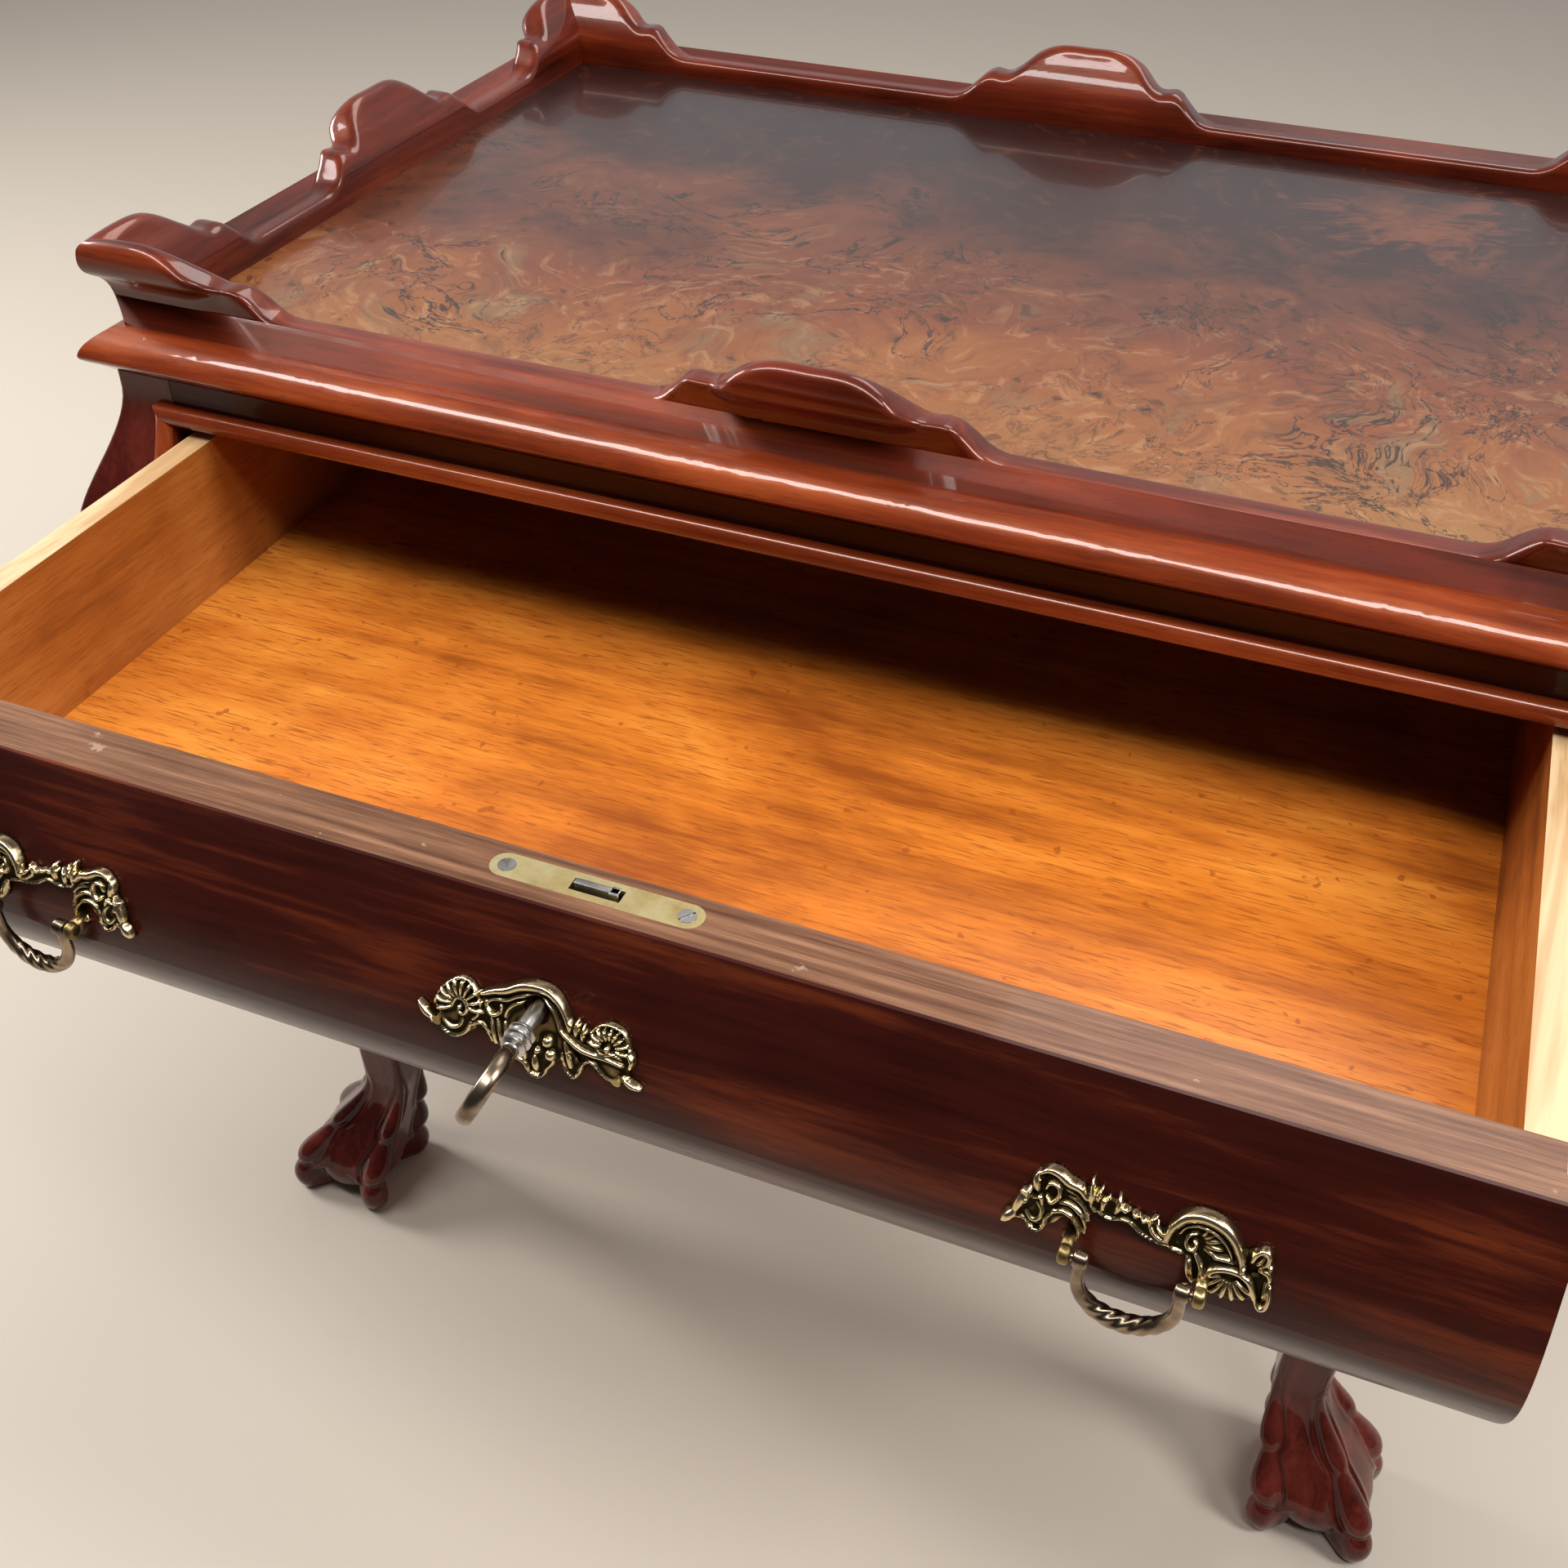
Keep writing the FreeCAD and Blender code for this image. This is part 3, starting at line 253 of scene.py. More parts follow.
burl = {
    # From the front edge to the back: how far along, and the colour there, the veneer's own gold and brown in
    # front running into painted shade at the back
    "stain": [
        (0.18, (0.24, 0.112, 0.036)), (0.34, (0.225, 0.076, 0.021)), (0.46, (0.15, 0.038, 0.012)),
        (0.56, (0.105, 0.028, 0.011)), (0.68, (0.030, 0.0095, 0.0070)), (0.85, (0.018, 0.0065, 0.0055))],
    "start": 0.28, "depth": 0.60, "cloudDepth": 0.60, "figureDepth": 0.24,
    "wander": (7, 3, 0.5, 0, "Color"), "warp": 0.16, "figure": (18, 6, 0.62, 0.6),
    "cloud": (5, 6, 0.66, 0.5), "curl": (48, 4, 0.65, 1.4),
    # Tints over that colour and its painted shade: colour, where they begin and are full, and share
    "frontSpan": (0.45, 0.62), "olive": ((0.17, 0.105, 0.048), (0.52, 0.66), 0.65),
    "pale": ((0.42, 0.235, 0.105), (0.52, 0.66), 0.28), "brown": ((0.085, 0.026, 0.011), (0.54, 0.68), 0.40),
    # Vein sets: scale, where they are taken from, strength, half width in noise
    "veins": [(8, 0, 0.85, 0.010), (15, 2, 0.8, 0.012), (34, 5, 0.5, 0.020)], "vein": (6, 0.66, 0.5),
    "core": 0.15, "patches": (10, 2), "patchSpan": (0.46, 0.58),
    "ink": (0.016, 0.009, 0.007), "inkMost": 0.9,
    "eyes": (80, 1, 0.5), "eyeSpan": (0.67, 0.72), "eyeShare": 0.5,
    # One lighter place in the painted shade of the back half
    "spot": (0.19, 0.155), "spotSize": (0.02, 0.085), "spotRag": 0.15, "spotLift": 0.24,
    "coat": 0.35, "ior": 1.38, "roughness": 0.24, "cloudDull": 0.15, "bump": (0.04, 0.0006),
}


def burlVeneer():
    # Curling figure with forked inky veins and small eyes, with painted shade darkening it towards the back
    b = burl
    wood = Finish("burl_veneer", coat=b["coat"], ior=b["ior"])
    point = wood.place()
    wander = wood.vector("SUBTRACT", wood.noise(point, *b["wander"]), (0.5, 0.5, 0.5))
    warped = wood.vector("ADD", point, wood.vector("MULTIPLY", wander, (b["warp"],) * 3))
    figure, curl = wood.noise(warped, *b["figure"]), wood.noise(warped, *b["curl"])
    cloud = wood.noise(point, *b["cloud"]) - 0.5
    spot = wood.vector("DISTANCE", point, (*b["spot"], trayTop), 1) + (curl - 0.5) * b["spotRag"]
    lift = (1 - spot.step(*b["spotSize"])) * b["spotLift"]
    # How far back each place lies, which moves its colour into the painted shade of the ramp's last stops
    share = wood.along(point, "Y") / (2 * halfY * mm) + 0.5
    level = share * b["depth"] + cloud * b["cloudDepth"] + (figure - 0.5) * b["figureDepth"]
    level = level + b["start"] - lift
    colour = wood.ramp(level, b["stain"])
    front = 1 - level.step(*b["frontSpan"])
    for tint, pattern in (("olive", figure), ("pale", curl), ("brown", 1 - curl)):
        stain, span, amount = b[tint]
        covered = pattern.step(*span) * amount
        colour = wood.mix(covered if tint == "brown" else covered * front, colour, stain)
    ink = wood.noise(warped, *b["eyes"]).step(*b["eyeSpan"]) * b["eyeShare"]
    for scale, shift, strength, wide in b["veins"]:
        vein = wood.noise(wood.vector("ADD", warped, (shift, 0, 0)), scale, *b["vein"])
        thin = 1 - (vein - 0.5).join("ABSOLUTE", 0).step(wide * b["core"], wide)
        patches = wood.noise(wood.vector("ADD", point, (0, shift + 1, 0)), *b["patches"])
        ink = ink + thin * patches.step(*b["patchSpan"]) * strength
    wood.set("Base Color", wood.mix(ink.join("MINIMUM", b["inkMost"]), colour, b["ink"]))
    wood.set("Roughness", b["roughness"] + cloud * b["cloudDull"])
    wood.bump(figure, *b["bump"])
    return wood.material


plain = {
    "drawer_wood": {
        "dark": (0.19, 0.048, 0.0065), "middle": (0.36, 0.102, 0.013), "light": (0.48, 0.17, 0.032),
        "pore": 0.35, "roughness": 0.5},
    "drawer_bottom_wood": {
        "dark": (0.27, 0.060, 0.0065), "middle": (0.55, 0.150, 0.0145), "light": (0.74, 0.265, 0.034),
        "pore": 0.7, "roughness": 0.40},
    "secondary_wood": {
        "dark": (0.20, 0.105, 0.045), "middle": (0.36, 0.21, 0.10), "light": (0.48, 0.31, 0.16),
        "pore": 0.3, "roughness": 0.6},
}

oil = {
    "blotch": (5, 4, 0.65, 0.5), "grain": (5, 4, 0.62, 0.6), "fine": (60, 3, 0.6),
    "blotchShare": 0.75, "grainShare": 0.45, "fineShare": 0.2, "toneShift": 0.2, "places": (0.34, 0.5, 0.68),
    "fleckScale": (1.6, 1.6, 1.6), "fleck": (46, 2, 0.5), "fleckSpan": (0.57, 0.65),
    "spot": (150, 1), "spotSpan": (0.72, 0.77), "fineBump": 0.5, "blotchDull": 0.2,
    "coat": 0.08, "coatRoughness": 0.25, "ior": 1.4, "bump": (0.18, 0.0004),
}

sawnEdge = {"pale": (0.66, 0.46, 0.26), "tan": (0.46, 0.27, 0.12), "span": (0.4, 0.6), "depth": 0.0004}


def plainWood(slot, axis):
    # Oiled wood with blotches, long grain and short dark pore flecks
    s, o = plain[slot], oil
    wood = Finish(slot + axis, coat=o["coat"], coatRoughness=o["coatRoughness"], ior=o["ior"])
    stretched = wood.place(grainScales[axis])
    blotch = wood.noise(wood.place(), *o["blotch"])
    grain, fine = wood.noise(stretched, *o["grain"]), wood.noise(stretched, *o["fine"])
    tone = blotch * o["blotchShare"] + grain * o["grainShare"] + fine * o["fineShare"] - o["toneShift"]
    short = wood.vector("MULTIPLY", stretched, o["fleckScale"])
    fleck = wood.noise(short, *o["fleck"]).step(*o["fleckSpan"])
    spot = wood.noise(wood.place(), *o["spot"]).step(*o["spotSpan"])
    colour = wood.mix(fleck.join("MAXIMUM", spot) * s["pore"], wood.stained(tone, o["places"], s), s["dark"])
    if slot == "drawer_wood":
        # The drawer sides' sawn upper edges are pale
        bare = wood.mix(grain.step(*sawnEdge["span"]), sawnEdge["pale"], sawnEdge["tan"])
        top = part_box("drawer_side_left")[1].z
        colour = wood.mix(wood.above(top, sawnEdge["depth"]), colour, bare)
    wood.set("Base Color", colour)
    wood.set("Roughness", s["roughness"] + (blotch - 0.5) * o["blotchDull"])
    wood.bump(fine * o["fineBump"] - fleck, *o["bump"])
    return wood.material


metals = {
    "brass": {"dark": (0.52, 0.36, 0.120), "bright": (1, 0.84, 0.44), "roughness": 0.34, "size": 90},
    "antique_brass": {
        "dark": (0.16, 0.10, 0.035), "bright": (0.62, 0.46, 0.20), "roughness": 0.34, "size": 90},
    "bronze": {"dark": (0.060, 0.040, 0.026), "bright": (0.36, 0.27, 0.19), "roughness": 0.27, "size": 120},
    "steel": {"dark": (0.17, 0.155, 0.14), "bright": (0.60, 0.58, 0.56), "roughness": 0.32, "size": 140},
    # The cast mounts: grime in the hollows, worn bright on the ridges
    "castBrass": {
        "dark": (0.030, 0.022, 0.010), "middle": (0.26, 0.175, 0.070), "bright": (0.74, 0.60, 0.36),
        "places": (0.34, 0.50, 0.68), "roughness": 0.50, "polish": 0.30, "size": 150,
        "fineShare": 0.30, "patchShare": 0.22, "patchSize": 0.25, "bump": (0.15, 0.0003)},
}

tarnish = {
    "fine": (4, 0.6), "patch": (3, 0.5), "patchSize": 0.3, "fineShare": 0.6, "patchShare": 0.4,
    "places": (0.34, 0.62), "dull": 0.4, "bump": (0.12, 0.0002),
}


def tarnishedMetal(slot):
    # Bright metal that has dulled in soft cloudy patches, on a mount also by how far each place stands out
    s = tarnish | metals[slot]
    metal = Finish(slot, metallic=1)
    isCast = "polish" in s
    base = metal.add("ShaderNodeAttribute", {"attribute_name": "relief"}, {}, "Fac") if isCast else 0.5
    fine = metal.noise(metal.place(), s["size"], *s["fine"])
    patch = metal.noise(metal.place(), s["size"] * s["patchSize"], *s["patch"])
    level = base + (fine - 0.5) * s["fineShare"] + (patch - 0.5) * s["patchShare"]
    colours = [s[key] for key in ("dark", "middle", "bright") if key in s]
    metal.set("Base Color", metal.ramp(level, list(zip(s["places"], colours))))
    dull = level.step(s["places"][0], s["places"][-1]) * -s["polish"] if isCast else (0.5 - level) * s["dull"]
    metal.set("Roughness", s["roughness"] + dull)
    metal.bump(fine, *s["bump"])
    return metal.material


finishes = {}


def finishFor(slot, axis="X"):
    key = slot if slot in metals else slot + axis
    if key not in finishes:
        if slot in metals:
            finishes[key] = tarnishedMetal(slot)
        elif slot == "burl_veneer":
            finishes[key] = burlVeneer()
        else:
            finishes[key] = (polishedMahogany if slot in mahogany else plainWood)(slot, axis)
    return finishes[key]


slots = {part["node"]: part["material_slot"] for part in frame["record"]["subparts"]}
for name, node in nodes.items():
    node.data.materials.clear()
    node.data.materials.append(finishFor(slots[name], grainAxis(name)))
print("finishes:", len(finishes))


# Pieces are skins bent from a grid, or a few operators on a bmesh shape

def through(points, value):
    # A smooth curve through (place, amount) pairs that are in order of place
    if value <= points[0][0]:
        return points[0][1]
    if value >= points[-1][0]:
        return points[-1][1]
    last = len(points) - 1
    k = next(i for i in range(last) if points[i + 1][0] >= value)
    slopes = []
    for i in (k, k + 1):
        (a, fromAmount), (b, toAmount) = points[max(i - 1, 0)], points[min(i + 1, last)]
        slopes.append((toAmount - fromAmount) / (b - a))
    (a, start), (b, end) = points[k], points[k + 1]
    run = b - a
    t = (value - a) / run
    return (
        start * (1 + 2 * t) * (1 - t) ** 2 + slopes[0] * run * t * (1 - t) ** 2
        + end * t * t * (3 - 2 * t) - slopes[1] * run * t * t * (1 - t))


def between(low, high, value):
    # A smooth rise from 0 at low to 1 at high
    share = min(max((value - low) / (high - low), 0), 1)
    return share * share * (3 - 2 * share)


def faceOutwards(bm):
    # The signed volume shows where recalculating has turned a deeply cut shape inside out
    bmesh.ops.recalc_face_normals(bm, faces=bm.faces)
    if bm.calc_volume(signed=True) < 0:
        bmesh.ops.reverse_faces(bm, faces=bm.faces)


def bend(across, along, place):
    # A grid whose rows are bent round and joined, with its ends filled
    bm = bmesh.new()
    bmesh.ops.create_grid(bm, x_segments=across, y_segments=along, size=0.5)
    for vertex in bm.verts:
        vertex.co = place(vertex.co.x + 0.5, vertex.co.y + 0.5)
    bmesh.ops.remove_doubles(bm, verts=bm.verts, dist=mergeGap)
    bmesh.ops.holes_fill(bm, edges=[edge for edge in bm.edges if edge.is_boundary])
    faceOutwards(bm)
    return bm


def addObject(name, data):
    made = bpy.data.objects.new(name, data)
    scene.collection.objects.link(made)
    return made


def meshFrom(name, bm, material):
    mesh = bpy.data.meshes.new(name)
    bm.to_mesh(mesh)
    bm.free()
    mesh.materials.append(material)
    return mesh


def addPiece(name, bm, body, slot, replaced, sharp=50, finish=None):
    # A piece of the scene, on its body, with its slot's finish or another one
    mesh = meshFrom(name, bm, finishFor(finish or slot, grainAxis(replaced)))
    mesh.shade_smooth()
    mesh.set_sharp_from_angle(angle=math.radians(sharp))
    piece = addObject(name, mesh)
    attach(piece, body)
    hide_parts(replaced)
    return piece


# The gallery: four mitred rails with a scrolled top edge, distances in mm

gallery = {
    # Height above the tray, and how far each face stands out from the tray's edge there
    "outer": [
        (-3.7, 17.1), (2.4, 17.25), (7.6, 17.5), (12.1, 17.9), (15.8, 18.5), (19, 19.6), (21.4, 21.3),
        (23, 23.9), (24.6, 25.4), (26.7, 26.3), (29.3, 26.7), (33.6, 26.4), (37.8, 25.2), (40.5, 24.2),
        (44, 23.4)],
    "inner": [
        (-3.7, 0), (11, 0), (15, 0.5), (20, 2.4), (26, 6.4), (32, 11.6), (37, 15.2),
        (40.5, 16.6), (44, 17.2)],
    # Top edge's height at a distance from the rail's middle, and from its inner corner
    "middleCrest": [
        (0, 40.2), (10, 40.3), (17, 39.8), (24, 38), (31, 34.2), (37, 29), (42, 25.3), (46, 23.9),
        (50, 24.1), (54, 24.4), (58, 23), (63, 18.6), (69, 13.2), (76, 10.4), (84, 10)],
    "cornerCrest": [
        (-22, 38.6), (-12, 39.8), (0, 40.3), (8, 39.9), (15, 38.4), (22, 35.2), (29, 30.2), (35, 26),
        (39, 24.2), (43, 24.2), (47, 24.5), (51, 23.2), (56, 18.8), (62, 13.2), (69, 10.4), (77, 10)],
    "lipFrom": 17, "lipTo": 33, "edgeRound": 4.2, "roundShare": 0.49, "mitreFrom": 10, "mitreRun": 20,
    "faceRows": 26, "roundRows": 7, "innerRows": 16, "stations": 190,
    # Shares of the stations in a corner and in a low stretch, and how far the corner and middle crests reach
    "cornerShare": 0.25, "lowShare": 0.03, "cornerReach": 80, "middleReach": 86,
}


def galleryHeight(along, halfRun):
    # The top edge's height at a place along the rail
    g = gallery
    distance = abs(along)
    if distance < g["middleReach"]:
        return through(g["middleCrest"], distance)
    return through(g["cornerCrest"], halfRun - distance)


def gallerySection(share, height):
    # Up the outer face, over the rounded top edge and down the inner face
    g = gallery
    lip = between(g["lipFrom"], g["lipTo"], height)
    foot, wall = g["outer"][0]

    def outer(level):
        return wall + (through(g["outer"], level) - wall) * lip

    def inner(level):
        return through(g["inner"], level)

    radius = min(g["edgeRound"], (outer(height) - inner(height)) * g["roundShare"])
    shoulder = height - radius
    rows = [g["faceRows"], g["roundRows"], 1, g["roundRows"], g["innerRows"]]
    step = share * sum(rows)
    if step <= rows[0]:
        level = foot + (shoulder - foot) * step / rows[0]
        return outer(level), level
    step -= rows[0]
    if step <= rows[1]:
        turn = math.pi / 2 * step / rows[1]
        level = shoulder + radius * math.sin(turn)
        return outer(level) - radius * (1 - math.cos(turn)), level
    step -= rows[1] + rows[2]
    if step <= rows[3]:
        turn = math.pi / 2 * (1 - max(step, 0) / rows[3])
        level = shoulder + radius * math.sin(turn)
        return inner(level) + radius * (1 - math.cos(turn)), level
    level = shoulder + (foot - shoulder) * (step - rows[3]) / rows[4]
    return inner(level), level


def galleryStation(share, halfRun):
    # Where a row of the grid lies along the rail, close together in the crests
    g = gallery
    side = -1 if share < 0.5 else 1
    rest = abs(share - 0.5)
    middle = 0.5 - g["cornerShare"] - g["lowShare"]
    farLow = halfRun - g["cornerReach"]
    if rest <= middle:
        return side * g["middleReach"] * rest / middle
    rest -= middle
    if rest <= g["lowShare"]:
        return side * (g["middleReach"] + (farLow - g["middleReach"]) * rest / g["lowShare"])
    rest -= g["lowShare"]
    return side * (farLow + (g["cornerReach"] + g["mitreRun"]) * rest / g["cornerShare"])


def galleryRail(name, halfRun, edge, turn):
    g = gallery
    spin = Matrix.Rotation(math.radians(turn), 3, "Z")
    rows = g["faceRows"] + 2 * g["roundRows"] + 1 + g["innerRows"]
    knee = halfRun - g["mitreFrom"]

    def place(share, length):
        along = galleryStation(length, halfRun)
        out, level = gallerySection(share, galleryHeight(along, halfRun))
        if abs(along) > knee:
            sheared = (abs(along) - knee) / (g["mitreFrom"] + g["mitreRun"])
            along = math.copysign(knee + sheared * (g["mitreFrom"] + out), along)
        return spin @ Vector((along * mm, -(edge + out) * mm, trayTop + level * mm))

    addPiece(name + "_carved", bend(rows, g["stations"], place), "table", "gallery_wood", name)


for turn, side in enumerate(("front", "right", "back", "left")):
    halfRun, edge = (halfY, halfX) if turn % 2 else (halfX, halfY)
    galleryRail("gallery_" + side, halfRun, edge, 90 * turn)
print("gallery carved")


# The legs: one skin each, from the case's corner down to a ball in four toes, distances in mm

legs = {
    "columns": 240, "footRows": 112, "legRows": 56, "footTop": 104, "crowding": 0.5, "footBias": 1.08,
    # How far the case's faces stand out from the tray's edges, by height
    "case": [(593, 24), (586, 24), (508, 50.5), (441, 20), (431, 20)],
    "postInner": (317.5, 190), "legInner": (300, 190), "openingBottom": 471.5, "caseBottom": 431,
    "postGap": 0.1, "ankleCentre": (297, 200), "footCentre": (322, 220), "ankleHalf": 14.5,
    "skirtHalf": 30.6, "ankle": 90, "skirt": 16,
    "outerCorner": [(0, 5), (50, 4), (90, 4.2), (300, 4), (431, 4), (593, 3)],
    "innerCorner": [(0, 5), (50, 4), (90, 4.2), (180, 3), (300, 1.2), (593, 1.2)],
    # The toes' half width by height: claw, groove, lower knuckle, hollow, upper knuckle, root
    "toeHalf": [
        (0, 5.4), (2.5, 7.5), (7, 8.8), (14, 9), (19, 8.3), (22, 7.2), (23.8, 6.4), (25.8, 7.3),
        (29, 8.5), (34, 8.7), (40, 7.7), (46, 6.1), (50, 5), (52, 4.7), (54, 5.1), (57, 5.8),
        (61, 5.7), (68, 4.7), (78, 3), (88, 1.4), (96, 0.4)],
    "toeInset": 5.6,
    "toeLift": [
        (0, -0.4), (12, 1.8), (21, 0.8), (24, 0.6), (34, 3.2), (50, 2.8), (58, 3.8), (70, 3.4), (84, 2.8),
        (96, 1.8)],
    "toeBlend": 0.8, "toeFlank": 2.5,
    "webBulge": [(0, 1), (24, 1.2), (45, 0.2), (70, -0.8), (90, 0)],
    "ridgeHeight": 0.8, "ridgeWidth": 1.3, "ridgeOff": 3.2, "grooveDepth": 1, "grooveWidth": 1.1,
    "ridgeSpan": [(14, 0), (24, 1), (70, 1), (104, 0)],
    "ballRadius": 31, "ballHeight": 27, "archTop": 30, "archFall": 16, "archSoft": 1.5,
}


def stepDown(points, value):
    # An S curve from each (height, amount) to the next, for heights that fall
    value = min(max(value, points[-1][0]), points[0][0])
    k = next(i for i in range(len(points) - 1) if points[i + 1][0] <= value)
    (upper, fromAmount), (lower, toAmount) = points[k], points[k + 1]
    return fromAmount + (toAmount - fromAmount) * between(0, upper - lower, upper - value)


def squareReach(angle, corner):
    # How far a square of half width 1 with rounded corners reaches in a direction
    major = numpy.maximum(abs(numpy.cos(angle)), abs(numpy.sin(angle)))
    minor = numpy.minimum(abs(numpy.cos(angle)), abs(numpy.sin(angle)))
    centre = 1 - corner
    b = centre * (major + minor)
    curved = b + numpy.sqrt(numpy.maximum(b * b - 2 * centre ** 2 + corner ** 2, 0))
    return numpy.where(minor <= centre * major, 1 / major, curved)


def legTable():
    # Every point of the front right leg's skin, in rows from the floor up
    s = legs
    heights = numpy.concatenate([
        s["footTop"] * numpy.linspace(0, 1, s["footRows"] + 1) ** s["footBias"],
        numpy.linspace(s["footTop"], s["openingBottom"], s["legRows"] // 2 + 1)[1:],
        numpy.linspace(s["openingBottom"] + s["postGap"], s["case"][0][0], s["legRows"] // 2)])
    rise = heights[:, None]

    def rows(curve, points):
        # One amount for each row
        return numpy.array([curve(points, height) for height in heights])[:, None]

    turn = numpy.linspace(-1, 1, s["columns"] // 4, endpoint=False)
    crowded = (s["crowding"] * turn + (1 - s["crowding"]) * turn ** 3) * math.pi / 4
    angle = numpy.concatenate([crowded + math.pi / 4 + quarter * math.pi / 2 for quarter in range(4)])
    cosine, sine = numpy.cos(angle), numpy.sin(angle)
    fromToe = numpy.tile(crowded, 4)

    reach = rows(stepDown, s["case"])
    share = rows(stepDown, [(s["ankle"], 0), (s["skirt"], 1)])
    fall = rows(stepDown, [(s["caseBottom"], 0), (s["ankle"], 1)])
    isFoot = rise < s["ankle"]
    half = s["ankleHalf"] + (s["skirtHalf"] - s["ankleHalf"]) * share
    centres, halves = [], []
    for axis, edge in enumerate((halfX, halfY)):
        ankle = s["ankleCentre"][axis]
        centre = ankle + (s["footCentre"][axis] - ankle) * share
        inner = numpy.where(rise > s["openingBottom"], s["postInner"][axis], s["legInner"][axis])
        outer = edge + reach
        low = numpy.where(isFoot, centre - half, inner + (ankle - s["ankleHalf"] - inner) * fall)
        high = numpy.where(isFoot, centre + half, outer + (ankle + s["ankleHalf"] - outer) * fall)
        centres.append((low + high) / 2)
        halves.append((high - low) / 2)

    # The skin between the toes: a rounded square, a little hollow above the foot
    least = numpy.minimum(*halves)
    isOuter = (cosine > 0) & (sine > 0)
    corner = numpy.where(isOuter, rows(through, s["outerCorner"]), rows(through, s["innerCorner"]))
    middle = numpy.cos(2 * (angle - numpy.round(angle / (math.pi / 2)) * math.pi / 2))
    web = squareReach(angle, corner / least) * least + rows(through, s["webBulge"]) * middle * isFoot

    # The toes on its corners, with a groove and a ridge beside each
    toeHalf = rows(through, s["toeHalf"])
    line = (half - s["toeInset"]) * math.sqrt(2) + rows(through, s["toeLift"])
    side = abs(line * numpy.sin(fromToe))
    toe = line * numpy.cos(fromToe) + numpy.sqrt(numpy.maximum(toeHalf ** 2 - side ** 2, 0))
    toe = toe - numpy.maximum(side - toeHalf, 0) * s["toeFlank"]
    webSide = abs(web * numpy.sin(fromToe)) - toeHalf
    ridge = s["ridgeHeight"] * numpy.exp(-((webSide - s["ridgeOff"]) / s["ridgeWidth"]) ** 2)
    groove = s["grooveDepth"] * numpy.exp(-((webSide - s["grooveWidth"]) / s["grooveWidth"]) ** 2)
    web = web + rows(through, s["ridgeSpan"]) * (ridge - groove)

    # The ball, which shows under the arches between them
    arch = s["archTop"] - s["archFall"] * (1 - middle)
    shown = numpy.clip((arch - rise) / s["archSoft"], 0, 1)
    ball = numpy.sqrt(numpy.maximum(s["ballRadius"] ** 2 - (rise - s["ballHeight"]) ** 2, 1))
    web = web + (numpy.minimum(ball, web) - web) * shown * shown * (3 - 2 * shown)

    toes = numpy.where(rise < s["toeHalf"][-1][0], toe, 0)
    gap = numpy.maximum(s["toeBlend"] - abs(web - toes), 0)
    radius = numpy.maximum(web, toes) + gap * gap / (4 * s["toeBlend"])
    x = centres[0] + cosine * radius * halves[0] / least
    y = centres[1] + sine * radius * halves[1] / least
    return x, y, heights


legX, legY, legHeights = legTable()
for name, sideX, sideY in (
        ("front_left", -1, -1), ("front_right", 1, -1), ("back_left", -1, 1), ("back_right", 1, 1)):
    def place(share, length):
        column = round(share * legs["columns"]) % legs["columns"]
        row = round(length * (len(legHeights) - 1))
        return Vector((sideX * legX[row, column], sideY * legY[row, column], legHeights[row])) * mm

    skin = bend(legs["columns"], len(legHeights) - 1, place)
    addPiece(f"leg_{name}_carved", skin, "table", "leg_wood", "leg_" + name, sharp=70)
print("legs carved")


# The cast mounts: relief drawn in strokes on a plane and bent round the drawer's face, in mm

mounts = {
    "grid": 0.36, "spacing": 0.35, "groundSpacing": 1.05, "groundEdge": 8, "roundEdge": 2,
    # How a stroke thins and falls towards its ends
    "endWidth": 0.62, "endHeight": 0.75, "soft": 0.5, "blurSpan": 5, "contrast": 1.3,
    # In grid steps: what is cut off outside the outline, and moved onto it inside
    "cut": 0.3, "snap": 0.6, "slopeLeast": 0.2, "edgeRun": 1.1, "rimPasses": 5, "rimPull": 0.5,
    # In mm: how far the plate stands out of and into the face, and the depth of a place with no stroke
    "sheet": 1, "sunk": 0.3, "outside": -9,
}

